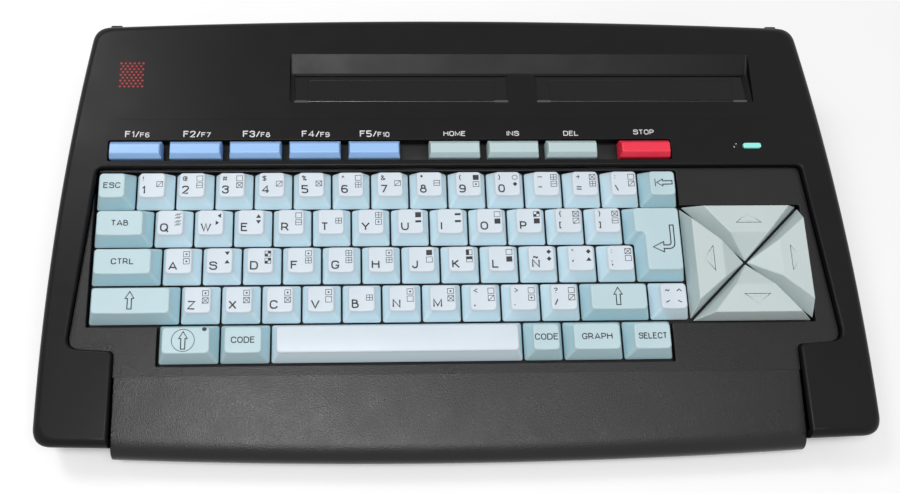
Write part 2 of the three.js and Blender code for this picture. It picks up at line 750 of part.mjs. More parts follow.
function keyFrame(keys) {
  const across = [blockLeft - frameMargin, padRight + frameMargin];
  const along = [rowsFront - frameMargin, barSlotRear];
  const within = ([low, high]) => [low + frameRimWall, high - frameRimWall];
  const plate = block(across, along, [-frameBottom, -frameTop]);
  const rim = block(across, along, [-frameRimDepth, -frameBottom])
    .subtract(block(within(across), within(along), [-frameRimDepth - overrun, -frameBottom]));
  const named = keys.filter((key) => key.name);
  const plain = keys.filter((key) => !key.name);
  const plainCap = cap(skirt(keyPitch), [[0, 0]]);
  const enter = returnKey();
  const holes = [
    ...named.flatMap((key) => stemsFor(key.width).map(([x]) => [key.middle.x + x, key.middle.y])),
    ...enter.stems.map(([x, y]) => [enter.middle.x + x, enter.middle.y + y]),
    ...padStems(),
    ...barStarts.map((start) => [start + barWidth / 2, barMiddle]),
  ];
  const drilled = cut(joined(plate, [rim]), holes.map(([u, v]) => stemHole(u, v)));
  return joined(drilled, plain.map((key) => plainCap.translate([key.middle.x, key.middle.y, 0])));
}

// Dome mat and backplate, one under the other below the frame
const underFrame = ([top, bottom]) => block([blockLeft - frameMargin, padRight + frameMargin],
  [rowsFront - frameMargin, barSlotRear], [-bottom, -top]);

// Cartridge doors, in a frame whose origin is the hinge
function cartridgeDoor() {
  const across = about(0, slotWidth - 2 * fitGap);
  const front = slotFront + fitGap - hingePlace;
  const rear = slotRear - fitGap - hingePlace;
  const top = doorTop - hingeHeight;
  const armTop = scoopFloorUnder - fitGap - hingeHeight;
  const panel = block(across, [front, rear], [top - doorPlate, top]);
  const rib = block(across, [rear - doorRib, rear], [0, top - doorPlate / 2]);
  const arm = block(across, [rear - doorRib, 0], [0, armTop]);
  const barrel = bar(across, 0, 0, doorBarrel, pinSides);
  const pins = bar(about(0, slotWidth + 2 * doorPinLength), 0, 0, doorPin, pinSides);
  return joined(panel, [rib, arm, barrel, pins]);
}

// Bottom case
const casePoint = (point, height) => {
  const place = deckPoint(point.x, point.y, -bottomTop);
  return new THREE.Vector3(place.x, place.y, height ?? place.z);
};
const floorTop = footHeight + skin;
const boardLow = floorTop + boardThickness - fitGap;
const boardTop = boardLow + boardThickness;
const rearWallPlace = deckPoint(0, caseRear, -bottomTop).y;
const panelFace = rearWallPlace - panelSetback;
const panelInside = panelFace - panelWall;
const boardRear = panelInside - boardRearGap;
const boardFront = boardRear - boardDepth;
const boardWidth = 2 * (sideRear - boardInset);
const boardPosts = [-1, 1].flatMap((side) => [boardFront, boardRear].map((end, place) => [
  side * (boardWidth / 2 - boardPostRadius), end + (place === 0 ? 1 : -1) * boardPostRadius]));

// Sockets on the rear panel: place, width, height and the cutter for each cavity
const socketFront = panelFace + socketProud;
const socketBack = socketFront - socketDepth;
const socketBase = boardTop + fitGap;

function socket(place, width, height, cavities) {
  const body = block(about(place, width), [socketBack, socketFront], [socketBase, socketBase + height]);
  return cut(body, cavities);
}

const roundCavity = (place, height, radius, depth) => bore(place, socketBase + height / 2, radius,
  [socketFront - depth, socketFront + overrun], roundSides);

function shellCavity(place) {
  const middle = socketBase + joystickHeight / 2;
  const [low, high] = about(middle, joystickCavityHeight);
  const wide = joystickCavityWide / 2;
  const narrow = joystickCavityNarrow / 2;
  const profile = [[-narrow, low], [narrow, low], [wide, high], [-wide, high]]
    .map(([x, z]) => new THREE.Vector2(x - place, z));
  const ring = (y) => profile.map((point) => new THREE.Vector3(point.x, point.y, y));
  const upright = new THREE.Matrix4().makeBasis(
    new THREE.Vector3(-1, 0, 0), new THREE.Vector3(0, 0, 1), new THREE.Vector3(0, 1, 0));
  return loft([ring(socketFront - joystickCavity), ring(socketFront + overrun)], upright);
}

const sockets = [
  {
    name: 'power_inlet', place: inletPlace, width: powerInletWidth, height: powerInletHeight,
    cavities: [roundCavity(inletPlace, powerInletHeight, powerInletRadius, powerInletCavity)],
  },
  {
    name: 'cassette_socket', place: cassettePlace, width: roundSocketWidth, height: roundSocketHeight,
    cavities: [roundCavity(cassettePlace, roundSocketHeight, roundSocketRadius, roundSocketCavity)],
  },
  {
    name: 'video_socket', place: videoPlace, width: roundSocketWidth, height: roundSocketHeight,
    cavities: [roundCavity(videoPlace, roundSocketHeight, roundSocketRadius, roundSocketCavity)],
  },
  {
    name: 'printer_port', place: printerPlace, width: printerWidth, height: printerHeight,
    cavities: [block(about(printerPlace, printerCavityWidth),
      [socketFront - printerCavity, socketFront + overrun],
      about(socketBase + printerHeight / 2, printerCavityHeight))],
  },
  {
    name: 'joystick_ports', place: joystickPlace, width: joystickWidth, height: joystickHeight,
    cavities: [-1, 1].map((side) => shellCavity(joystickPlace + side * joystickPitch / 2)),
  },
];

// Rocker: its pivot lies behind the panel, so that each half swings clear of the panel's opening
const rockerPivot = [panelFace - rockerPivotDepth, (panelLow + panelHigh) / 2];

function powerSwitch() {
  const half = rockerHeight / 2;
  const lean = Math.tan(rockerSwing) * half;
  const front = rockerPivotDepth + rockerProud;
  const rear = front - rockerDepth;
  const profile = [[-half, front], [-half, rear], [half, rear], [half, front], [0, front - lean]];
  const ring = (x) => profile.map(([z, y]) => new THREE.Vector3(y, z, x));
  const acrossToCase = new THREE.Matrix4().makeBasis(
    new THREE.Vector3(0, 1, 0), new THREE.Vector3(0, 0, 1), new THREE.Vector3(1, 0, 0));
  const halfWidth = rockerWidth / 2;
  const body = loft([ring(-halfWidth).reverse(), ring(halfWidth).reverse()], acrossToCase);
  const pins = bar(about(0, rockerWidth + 2 * rockerPinLength), 0, 0, rockerPin, pinSides);
  return body.add(pins);
}

const rockerWindow = () => block(about(switchPlace, rockerWidth + 2 * fitGap),
  [panelInside - overrun, panelFace + overrun], about(rockerPivot[1], rockerHeight + 2 * rockerPlay));

function rockerCheeks() {
  const reach = rockerWidth + 2 * fitGap + 2 * cheekWall;
  const cheeks = block(about(switchPlace, reach), [panelInside - cheekDepth, panelInside + panelWall / 2],
    about(rockerPivot[1], rockerHeight));
  return cut(cheeks, [
    block(about(switchPlace, rockerWidth + 2 * fitGap), [panelInside - cheekDepth - overrun, panelFace],
      about(rockerPivot[1], rockerHeight + 2 * overrun)),
    bar(about(switchPlace, rockerWidth + 2 * (rockerPinLength + fitGap)), rockerPivot[0], rockerPivot[1],
      rockerPin + pinPlay, pinSides),
  ]);
}

const footFront = deckPoint(0, caseFront, 0).y + footEndInset;
const footRear = deckPoint(0, caseRear, 0).y - footEndInset;
const feet = [['left', -1], ['right', 1]].flatMap(([name, side]) => [
  { name: `foot_front_${name}`, x: side * (sideFront - footSideInset), y: footFront },
  { name: `foot_rear_${name}`, x: side * (sideRear - footSideInset), y: footRear },
]);

function bottomCase() {
  const rim = caseOutline(bottomInset);
  const drawn = caseOutline(bottomInset + bottomDraft);
  const under = caseOutline(bottomInset + bottomDraft + bottomChamfer);
  const outer = loft([
    under.map((point) => casePoint(point, footHeight)),
    drawn.map((point) => casePoint(point, footHeight + bottomChamfer)),
    rim.map((point) => casePoint(point)),
  ]);
  const inside = caseOutline(bottomInset + bottomDraft + bottomChamfer + skin);
  const insideTop = caseOutline(bottomInset + skin);
  const inner = loft([
    inside.map((point) => casePoint(point, floorTop)),
    insideTop.map((point) => casePoint(point).add(new THREE.Vector3(0, 0, overrun))),
  ]);
  const belowParting = block(about(0, 2 * frontWidth), [-caseDepth, caseDepth],
    [-2 * caseDepth, -bottomTop], deckToCase);
  const panelSpan = about(0, panelWidth);
  const panelBlock = block(about(0, panelWidth + 2 * panelWall), [panelInside, rearWallPlace + overrun],
    [footHeight, panelHigh + panelWall]).intersect(outer);
  const panelRecess = block(panelSpan, [panelFace, rearWallPlace + 2 * overrun], [panelLow, panelHigh]);
  const upright = (x, y, radius, top) => post(x, y, radius, [footHeight, top], roundSides);
  const posts = [
    ...coverPosts.map(({ x, y }) => upright(x, y, coverPostRadius, coverPostSplit)),
    ...boardPosts.map(([x, y]) => upright(x, y, boardPostRadius, boardLow - fitGap)),
  ];
  const aboveBackplate = block(about(0, 2 * frontWidth), [-caseDepth, caseDepth],
    [-backplateBottom - fitGap, caseDepth], deckToCase);
  const bearerSpan = [deckPoint(0, rowsFront, 0).y, boardFront - boardRearGap];
  const plateBearers = [blockLeft + bearerInset, padRight - bearerInset]
    .map((u) => block(about(u, bearerWidth), bearerSpan, [footHeight, deckHeight]).subtract(aboveBackplate));
  const vents = [-1, 1].flatMap((side) => Array.from({ length: ventCount }, (_, place) => {
    const x = side * ventSpread + (place - (ventCount - 1) / 2) * ventPitch;
    return block(about(x, ventWidth), about(ventPlace, ventLength), [footHeight - overrun, floorTop + overrun]);
  }));
  const footSeats = feet.map(({ x, y }) => post(x, y, footRadius + fitGap,
    [footHeight - overrun, footHeight + footSink], roundSides));
  const shell = joined(cut(outer, [inner]).intersect(belowParting), [panelBlock, ...posts, ...plateBearers]);
  const windows = sockets.map(({ place, width, height }) => block(about(place, width + 2 * fitGap),
    [panelInside - overrun, panelFace + overrun], [socketBase - fitGap, socketBase + height + fitGap]));
  return cut(shell, [panelRecess, rockerWindow(), ...windows, ...vents, ...footSeats]).add(rockerCheeks());
}

// Main board with its chips
function mainBoard() {
  const across = about(0, boardWidth);
  const board = block(across, [boardFront, boardRear], [boardLow, boardTop]);
  let left = across[0] + chipLane;
  const chips = chipLengths.map((length) => {
    const chip = block([left, left + length], [boardFront + chipLane, boardFront + chipLane + chipWidth],
      [boardLow, boardTop + chipHeight]);
    left += length + chipGap;
    return chip;
  });
  return joined(board, chips);
}

function cartridgeConnector(middle) {
  const centre = (slotFront + slotRear) / 2;
  const low = boardTop + fitGap;
  const high = low + connectorHeight;
  const body = block(about(middle, connectorWidth), about(centre, connectorDepth), [low, high]);
  return body.subtract(block(about(middle, connectorSlotWidth), about(centre, connectorSlot),
    [high - connectorSlotDepth, high + overrun]));
}

function powerLens() {
  const light = prism(lensOutline(0), [-skin - fitGap - lensFlangePlate / 2, lensProud]);
  const flange = prism(lensOutline(lensFlange), [-skin - fitGap - lensFlangePlate, -skin - fitGap]);
  return light.add(flange);
}

// Assembly
const computer = new THREE.Group();
computer.add(deck);

function placed(parent, mesh, x, y, z) {
  mesh.position.set(x, y, z);
  parent.add(mesh);
}

deck.add(piece('top_cover', topCover(), smoothBlack));
deck.add(piece('keyboard_bezel', keyboardBezel(), grainBlack));
deck.add(piece('power_lens', powerLens(), lensGreen));

const keys = typingKeys();
deck.add(piece('key_frame', keyFrame(keys), keyWhite));
deck.add(piece('dome_mat', underFrame([matTop, matBottom]), rubberGrey));
deck.add(piece('key_backplate', underFrame([backplateTop, backplateBottom]), steel));

for (const { name, middle, width } of keys.filter((key) => key.name)) {
  const body = cap(skirt(width), stemsFor(width));
  const colour = homeKeys.includes(name) || name === 'space' ? keyWhite : keyGreyGreen;
  placed(deck, piece(`key_${name}`, body, colour), middle.x, middle.y, 0);
}
const enter = returnKey();
const enterCap = cap(enter.corners, enter.stems);
placed(deck, piece('key_return', enterCap, keyGreyGreen), enter.middle.x, enter.middle.y, 0);

barNames.forEach((name, place) => {
  const colours = [keyBlue, keyPale, keyRed];
  const colour = colours[(place >= homeBar ? 1 : 0) + (place >= stopBar ? 1 : 0)];
  placed(deck, piece(`key_${name}`, functionKey(), colour), barStarts[place] + barWidth / 2, barMiddle, 0);
});

for (const { name, turn, halves } of padKeys) {
  const mesh = piece(`key_${name}`, padKey(...halves), padGreen);
  placed(deck, mesh, padMiddle, padCentre, 0);
  mesh.rotation.z = turn;
}

computer.add(piece('bottom_case', bottomCase(), insideBlack));
computer.add(piece('main_board', mainBoard(), boardGreen));
for (const { name, place, width, height, cavities } of sockets) {
  computer.add(piece(name, socket(place, width, height, cavities), insideBlack));
}

['left', 'right'].forEach((side, place) => {
  const door = piece(`cartridge_door_${side}`, cartridgeDoor(), smoothBlack);
  placed(computer, door, slotMiddles[place], hingePlace, hingeHeight);
  computer.add(piece(`cartridge_connector_${side}`, cartridgeConnector(slotMiddles[place]), insideBlack));
});

const rocker = piece('power_switch', powerSwitch(), insideBlack);
placed(computer, rocker, switchPlace, ...rockerPivot);
rocker.rotation.x = rockerSwing;

for (const { name, x, y } of feet) {
  const foot = post(0, 0, footRadius, [0, footHeight + footSink], roundSides);
  placed(computer, piece(name, foot, rubberGrey), x, y, 0);
}

export default computer;
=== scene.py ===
"""Looks of a vintage home computer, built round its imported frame.

Lengths are in millimetres. In the deck's frame u runs right, v runs to the rear up the slope and w is the height
above the sloping top surface. Meshes are turned into metres of the world when they are made.
"""

import logging
import math
from dataclasses import dataclass
from enum import Enum
from typing import Callable, Iterable, Sequence

import bmesh
import bpy
from mathutils import Matrix, Vector
from mathutils.geometry import tessellate_polygon


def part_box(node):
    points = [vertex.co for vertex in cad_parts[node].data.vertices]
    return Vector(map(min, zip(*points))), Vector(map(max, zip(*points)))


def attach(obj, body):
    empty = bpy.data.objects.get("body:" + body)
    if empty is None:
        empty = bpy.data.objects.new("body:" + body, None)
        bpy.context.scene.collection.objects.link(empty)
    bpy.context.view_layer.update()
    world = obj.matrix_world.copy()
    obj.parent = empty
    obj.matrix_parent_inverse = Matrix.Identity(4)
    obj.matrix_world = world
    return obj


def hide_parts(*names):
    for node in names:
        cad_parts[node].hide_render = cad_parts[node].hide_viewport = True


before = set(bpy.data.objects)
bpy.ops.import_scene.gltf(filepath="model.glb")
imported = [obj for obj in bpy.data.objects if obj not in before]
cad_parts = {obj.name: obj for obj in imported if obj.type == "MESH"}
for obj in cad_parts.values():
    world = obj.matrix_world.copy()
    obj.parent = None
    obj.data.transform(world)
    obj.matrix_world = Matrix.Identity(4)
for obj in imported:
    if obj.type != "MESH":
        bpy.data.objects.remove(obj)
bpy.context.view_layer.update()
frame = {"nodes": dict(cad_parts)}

log = logging.getLogger("computer")

METRES = 0.001
CASE_BODY = "case"

OVERRUN = 4.0  # how far a cutter runs past what it cuts
INK_LIFT = 0.05  # a print's height above its surface

Pair = tuple[float, float]
Span = tuple[float, float]
Triple = tuple[float, float, float]


@dataclass(frozen=True)
class DeckFrame:
    """Where the sloping top surface lies."""

    tilt: float = math.radians(7.0)  # slope towards the rear, in radians
    height: float = 35.7  # height above the table at mid depth
    shift: float = 2.0844  # place of the mid depth along Y

    def turn(self) -> Matrix:
        """Return the deck's rotation."""
        return Matrix.Rotation(self.tilt, 4, "X")

    def matrix(self) -> Matrix:
        """Return the matrix from deck millimetres to world metres."""
        return WORLD @ Matrix.Translation((0.0, self.shift, self.height)) @ self.turn()

    def place(self, u: float, v: float, w: float) -> Vector:
        """Return a deck point in world millimetres."""
        return Matrix.Translation((0.0, self.shift, self.height)) @ self.turn() @ Vector((u, v, w))


WORLD = Matrix.Scale(METRES, 4)
DECK = DeckFrame()


class Axis(Enum):
    """The axis that a round body lies along, as a turn of the body's own axes."""

    X = Matrix(((0, 0, 1), (1, 0, 0), (0, 1, 0)))
    Y = Matrix(((-1, 0, 0), (0, 0, 1), (0, 1, 0)))
    Z = Matrix.Identity(3)


class Sculpt:
    """Points and faces of a piece while it is made."""

    def __init__(self) -> None:
        """Start with nothing."""
        self.points: list[Vector] = []
        self.faces: list[tuple[int, ...]] = []
        self.inks: list[int] = []

    def ring(self, points: Iterable[Vector]) -> list[int]:
        """Add points and return their numbers."""
        first = len(self.points)
        self.points.extend(Vector(point) for point in points)
        return list(range(first, len(self.points)))

    def face(self, corners: Sequence[int], ink: int = 0) -> None:
        """Add a face by its points' numbers, anticlockwise from outside, and its material's number."""
        self.faces.append(tuple(corners))
        self.inks.append(ink)

    def bridge(self, low: Sequence[int], high: Sequence[int]) -> None:
        """Join two rings of equal length with four-sided faces.

        Args:
            low: The lower ring, anticlockwise from above.
            high: The ring above it.
        """
        count = len(low)
        for place in range(count):
            after = (place + 1) % count
            self.face((low[place], low[after], high[after], high[place]))

    def loft(self, rings: Sequence[Sequence[Vector]]) -> "Sculpt":
        """Add a closed body through stacked rings, the lowest first.

        Args:
            rings: Rings of equal length, anticlockwise from above.

        Returns:
            The sculpt itself.
        """
        numbers = [self.ring(points) for points in rings]
        for low, high in zip(numbers, numbers[1:]):
            self.bridge(low, high)
        self.face(numbers[0][::-1])
        self.face(numbers[-1])
        return self

    def box(self, across: Span, along: Span, up: Span) -> "Sculpt":
        """Add a box between limits along the three axes."""
        return self.loft([raised(rectangle(across, along), height) for height in up])

    def turned(self, at: Vector, axis: Axis, profile: Sequence[Pair], sides: int) -> "Sculpt":
        """Add a round body.

        Args:
            at: The point that its length is counted from.
            axis: The axis that it lies along.
            profile: Radius and place along the axis of each ring, the lowest first.
            sides: Number of its sides.

        Returns:
            The sculpt itself.
        """
        rings = []
        for radius, place in profile:
            rings.append([at + axis.value @ Vector((a, b, place)) for a, b in circle(radius, sides)])
        return self.loft(rings)

    def bevelled(self, width: float, steps: int = 2, angle: float = math.radians(25.0)) -> "Sculpt":
        """Round every edge that is sharper than an angle.

        Args:
            width: How far from the edge the rounding starts.
            steps: Faces across the rounding.
            angle: Least angle between two faces.

        Returns:
            The sculpt itself.
        """
        work = bmesh.new()
        made = [work.verts.new(point) for point in self.points]
        for corners in self.faces:
            work.faces.new([made[number] for number in corners])
        work.normal_update()
        sharp = [edge for edge in work.edges if edge.is_manifold and edge.calc_face_angle() > angle]
        bmesh.ops.bevel(work, geom=sharp, offset=width, segments=steps, affect="EDGES", profile=0.5)
        work.verts.index_update()
        self.points = [vertex.co.copy() for vertex in work.verts]
        self.faces = [tuple(vertex.index for vertex in face.verts) for face in work.faces]
        self.inks = [0] * len(self.faces)
        work.free()
        return self

    def mesh(self, name: str, matrix: Matrix) -> bpy.types.Mesh:
        """Return the sculpt as a mesh.

        Args:
            name: The mesh's name.
            matrix: Turns the points into world metres.

        Returns:
            The mesh, checked for faces that don't hold.
        """
        made = bpy.data.meshes.new(name)
        made.from_pydata([matrix @ point for point in self.points], [], self.faces)
        made.polygons.foreach_set("material_index", self.inks)
        made.validate()
        return made


def about(middle: float, width: float) -> Span:
    """Return the limits of a width about its middle."""
    return middle - width / 2, middle + width / 2


def rectangle(across: Span, along: Span) -> list[Vector]:
    """Return a rectangle's corners, anticlockwise."""
    (left, right), (front, rear) = across, along
    return [Vector(pair) for pair in ((left, front), (right, front), (right, rear), (left, rear))]


def raised(points: Iterable[Vector], height: float) -> list[Vector]:
    """Return flat points at a height."""
    return [Vector((point.x, point.y, height)) for point in points]


@dataclass(frozen=True)
class Corner:
    """A corner of an outline."""

    x: float
    y: float
    round: float = 0.0  # how far from the corner its rounding starts
    bow: Pair | None = None  # control point of the side that leaves the corner, where that side is curved


def bent(start: Vector, control: Vector, end: Vector, steps: int) -> list[Vector]:
    """Return points of a quadratic curve, without its start."""
    shares = [step / steps for step in range(1, steps + 1)]
    return [start * (1 - t) ** 2 + control * (2 * t * (1 - t)) + end * t**2 for t in shares]


def outline(corners: Sequence[Corner], side_steps: int, corner_steps: int) -> list[Vector]:
    """Return the points of an outline with rounded corners and bowed sides.

    Args:
        corners: The corners, anticlockwise.
        side_steps: Steps along a bowed side.
        corner_steps: Steps round a corner.

    Returns:
        The points, without a repeat of the first.
    """
    count = len(corners)
    at = [Vector((corner.x, corner.y)) for corner in corners]
    leaving = [Vector(corner.bow) if corner.bow else at[(i + 1) % count] for i, corner in enumerate(corners)]
    coming = [Vector(corners[i - 1].bow) if corners[i - 1].bow else at[i - 1] for i in range(count)]

    def towards(number: int, target: Vector) -> Vector:
        """Return the end of a corner's rounding on the side towards a target."""
        return at[number] + (target - at[number]).normalized() * corners[number].round

    points = [towards(0, leaving[0])]
    for number, corner in enumerate(corners):
        after = (number + 1) % count
        end = towards(after, coming[after])
        if corner.bow:
            points += bent(points[-1], leaving[number], end, side_steps)
        else:
            points.append(end)
        if corners[after].round > 0:
            points += bent(end, at[after], towards(after, leaving[after]), corner_steps)
    return distinct(points)


def distinct(points: Sequence[Vector]) -> list[Vector]:
    """Return the points of a closed path without repeats."""
    following = [*points[1:], points[0]]
    return [point for point, after in zip(points, following) if (after - point).length > METRES]


def softened(points: Sequence[Vector], soft: Sequence[bool], reach: float, steps: int = 4) -> list[Vector]:
    """Return a path with some of its corners rounded.

    Args:
        points: The path's points.
        soft: Which of them are rounded.
        reach: How far from a corner its rounding starts, at most.
        steps: Steps round a corner.

    Returns:
        The path's points.
    """
    path: list[Vector] = []
    for number, point in enumerate(points):
        if not soft[number]:
            path.append(point)
            continue
        ends = []
        for other in (number - 1, (number + 1) % len(points)):
            way = points[other] - point
            ends.append(point + way.normalized() * min(reach, way.length * (0.5 if soft[other] else 1.0)))
        path += [ends[0], *bent(ends[0], point, ends[1], steps)]
    return distinct(path)


def inset(points: Sequence[Vector], distance: float) -> list[Vector]:
    """Return an outline moved inwards by a distance, with mitred corners."""
    moved = []
    for number, point in enumerate(points):
        before = (point - points[number - 1]).normalized()
        after = (points[(number + 1) % len(points)] - point).normalized()
        first = Vector((-before.y, before.x))
        second = Vector((-after.y, after.x))
        moved.append(point + (first + second) * (distance / (1 + first.dot(second))))
    return moved


def rounded(points: Sequence[Vector], radius: float, steps: int = 5) -> list[Vector]:
    """Return a polygon with rounded corners."""
    return outline([Corner(point.x, point.y, radius) for point in points], 1, steps)


def extruded(profile: Sequence[Pair], across: Span) -> Sculpt:
    """Return a bar of one section, whose points run anticlockwise from the right, between two ends."""
    return Sculpt().loft([[Vector((x, *pair)) for pair in profile] for x in across])


def flared(
    ring: Callable[[float], list[Vector]], lip: float, top: float, low: float, steps: int = 6
) -> Sculpt:
    """Return a cutter whose upper part widens, so that it leaves a rounded edge.

    Args:
        ring: Gives the hole's outline inside a margin.
        lip: Radius of the rounded edge.
        top: Height of the surface that is cut.
        low: Height of the cutter's lower end.
        steps: Faces across the rounded edge.

    Returns:
        The cutter.
    """
    rings = [raised(ring(0.0), low)]
    for step in range(steps + 1):
        angle = math.pi / 2 * step / steps
        rings.append(raised(ring(lip * (math.cos(angle) - 1.0)), top - lip + lip * math.sin(angle)))
    rings.append(raised(ring(-lip), top + OVERRUN))
    return Sculpt().loft(rings)


class Cut(Enum):
    """How a tool changes a body."""

    AWAY = "DIFFERENCE"
    JOIN = "UNION"


def linked(name: str, data: bpy.types.ID) -> bpy.types.Object:
    """Return a new object of the scene."""
    made = bpy.data.objects.new(name, data)
    bpy.context.scene.collection.objects.link(made)
    return made


class Body:
    """A closed mesh that is joined with others or cut by them."""

    def __init__(self, name: str, sculpt: Sculpt, matrix: Matrix) -> None:
        """Make the body."""
        self.holder = linked(name, sculpt.mesh(name, matrix))
        self.tools: list[bpy.types.Object] = []

    def use(self, how: Cut, sculpt: Sculpt, matrix: Matrix) -> "Body":
        """Cut the body with a shape, or join the shape to it.

        Args:
            how: What the shape does.
            sculpt: The shape.
            matrix: Turns it into world metres.

        Returns:
            The body itself.
        """
        tool = linked("tool", sculpt.mesh("tool", matrix))
        self.tools.append(tool)
        change = self.holder.modifiers.new("change", "BOOLEAN")
        change.operation = how.value
        change.solver = "MANIFOLD"
        change.object = tool
        return self

    def result(self) -> bpy.types.Mesh:
        """Return the finished mesh and clear the tools away."""
        graph = bpy.context.evaluated_depsgraph_get()
        made = bpy.data.meshes.new_from_object(self.holder.evaluated_get(graph))
        for thing in [*self.tools, self.holder]:
            bpy.data.objects.remove(thing)
        work = bmesh.new()
        work.from_mesh(made)
        bmesh.ops.remove_doubles(work, verts=work.verts, dist=METRES * 0.002)
        work.to_mesh(made)
        work.free()
        return made


def add_piece(
    name: str,
    made: bpy.types.Mesh,
    finishes: Sequence["Moulded | Metal"],
    body: str = CASE_BODY,
    slot: str | None = None,
    nodes: Sequence[str] = (),
    weighted: bool = True,
    crease: float = 34.0,
) -> bpy.types.Object:
    """Put a finished piece on the object.

    Args:
        name: The piece's name.
        made: Its mesh, in world metres.
        finishes: Its finishes.
        body: The body that carries it.
        slot: The record's material slot; not used.
        nodes: The nodes it stands for.
        weighted: Whether large faces lead the shading.
        crease: Least angle of a sharp edge, in degrees.

    Returns:
        The piece.
    """
    made.shade_smooth()
    made.set_sharp_from_angle(angle=math.radians(crease))
    made.materials.clear()
    for finish in finishes:
        made.materials.append(finish.material())
    piece = linked(name, made)
    if weighted:
        normals = piece.modifiers.new("normals", "WEIGHTED_NORMAL")
        normals.keep_sharp = True
        normals.weight = 90
    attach(piece, body)
    if nodes:
        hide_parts(*nodes)
    log.info("%s rides on %s", name, body)
    return piece


def add_shape(name: str, sculpt: Sculpt, matrix: Matrix, finish: "Moulded | Metal", **where: object) -> None:
    """Put a piece of one finish on the object, with the body, slot and nodes that add_piece takes."""
    add_piece(name, sculpt.mesh(name, matrix), [finish], **where)


def colour_of(code: int) -> tuple[float, float, float, float]:
    """Return a display colour code as linear values."""
    shares = [((code >> shift) & 255) / 255 for shift in (16, 8, 0)]
    linear = [share / 12.92 if share <= 0.04045 else ((share + 0.055) / 1.055) ** 2.4 for share in shares]
    return (*linear, 1.0)


def scaled(colour: Sequence[float], factor: float) -> tuple[float, float, float, float]:
    """Return a colour made lighter or darker."""
    return (*(min(1.0, share * factor) for share in colour[:3]), 1.0)


class Recipe:
    """A material's node tree while it is made."""

    def __init__(self, name: str) -> None:
        """Start from the standard surface shader.

        Args:
            name: The material's name.
        """
        self.material = bpy.data.materials.new(name)
        self.material.use_nodes = True
        self.tree = self.material.node_tree
        self.shader = self.tree.nodes["Principled BSDF"]
        self.coordinates = self.tree.nodes.new("ShaderNodeTexCoord").outputs["Object"]

    def node(self, kind: str, settings: dict | None = None, **inputs: object) -> bpy.types.Node:
        """Add a node.

        Args:
            kind: The node's type.
            settings: Its properties.
            **inputs: Its sockets' values, or the sockets to join to them.

        Returns:
            The node.
        """
        made = self.tree.nodes.new(kind)
        for key, value in (settings or {}).items():
            setattr(made, key, value)
        for key, value in inputs.items():
            self.feed(made.inputs[key.replace("_", " ")], value)
        return made

    def feed(self, socket: bpy.types.NodeSocket, value: object) -> None:
        """Join a socket to another, or set its value."""
        if isinstance(value, bpy.types.NodeSocket):
            self.tree.links.new(value, socket)
        else:
            socket.default_value = value

    def noise(self, size: float, detail: float = 2.0, rough: float = 0.5) -> bpy.types.NodeSocket:
        """Return an even noise whose blotches have a size in millimetres."""
        made = self.node(
            "ShaderNodeTexNoise", Vector=self.coordinates, Scale=1.0 / (size * METRES), Detail=detail, Roughness=rough
        )
        return made.outputs["Fac"]

    def cells(self, size: float) -> bpy.types.NodeSocket:
        """Return the distance from the middles of cells of a size in millimetres."""
        made = self.node(
            "ShaderNodeTexVoronoi", {"feature": "SMOOTH_F1"}, Vector=self.coordinates, Scale=1.0 / (size * METRES),
            Smoothness=0.6,
        )
        return made.outputs["Distance"]

    def ranged(self, value: bpy.types.NodeSocket, low: float, high: float) -> bpy.types.NodeSocket:
        """Return a share stretched between two values."""
        limits = {"From_Min": 0.3, "From_Max": 0.7, "To_Min": low, "To_Max": high}
        made = self.node("ShaderNodeMapRange", Value=value, **limits)
        return made.outputs["Result"]

    def above_deck(self, low: float, high: float) -> bpy.types.NodeSocket:
        """Return 0 at one height above the deck and 1 at another, with a ramp between."""
        normal = DECK.turn() @ Vector((0.0, 0.0, 1.0))
        start = normal.dot(DECK.place(0.0, 0.0, 0.0))
        reach = self.node("ShaderNodeVectorMath", {"operation": "DOT_PRODUCT"})
        self.feed(reach.inputs[0], self.coordinates)
        self.feed(reach.inputs[1], tuple(normal))
        limits = {"From Min": (start + low) * METRES, "From Max": (start + high) * METRES}
        made = self.node("ShaderNodeMapRange", Value=reach.outputs["Value"])
        for name, value in limits.items():
            self.feed(made.inputs[name], value)
        return made.outputs["Result"]

    def mixed(self, share: object, first: Sequence[float], second: Sequence[float]) -> bpy.types.NodeSocket:
        """Return a colour between two."""
        made = self.node("ShaderNodeMix", {"data_type": "RGBA"})
        self.feed(made.inputs[0], share)
        self.feed(made.inputs[6], first)
        self.feed(made.inputs[7], second)
        return made.outputs[2]

    def bump(self, height: bpy.types.NodeSocket, depth: float, under: object = None) -> bpy.types.NodeSocket:
        """Return a normal roughened by a height, over another normal if there is one."""
        made = self.node("ShaderNodeBump", Height=height, Strength=1.0, Distance=depth * METRES)
        if under is not None:
            self.feed(made.inputs["Normal"], under)
        return made.outputs["Normal"]


class Grain(Enum):
    """The texture of a moulded surface."""

    SMOOTH = "smooth"
    SPARK = "spark"
    PEBBLED = "pebbled"


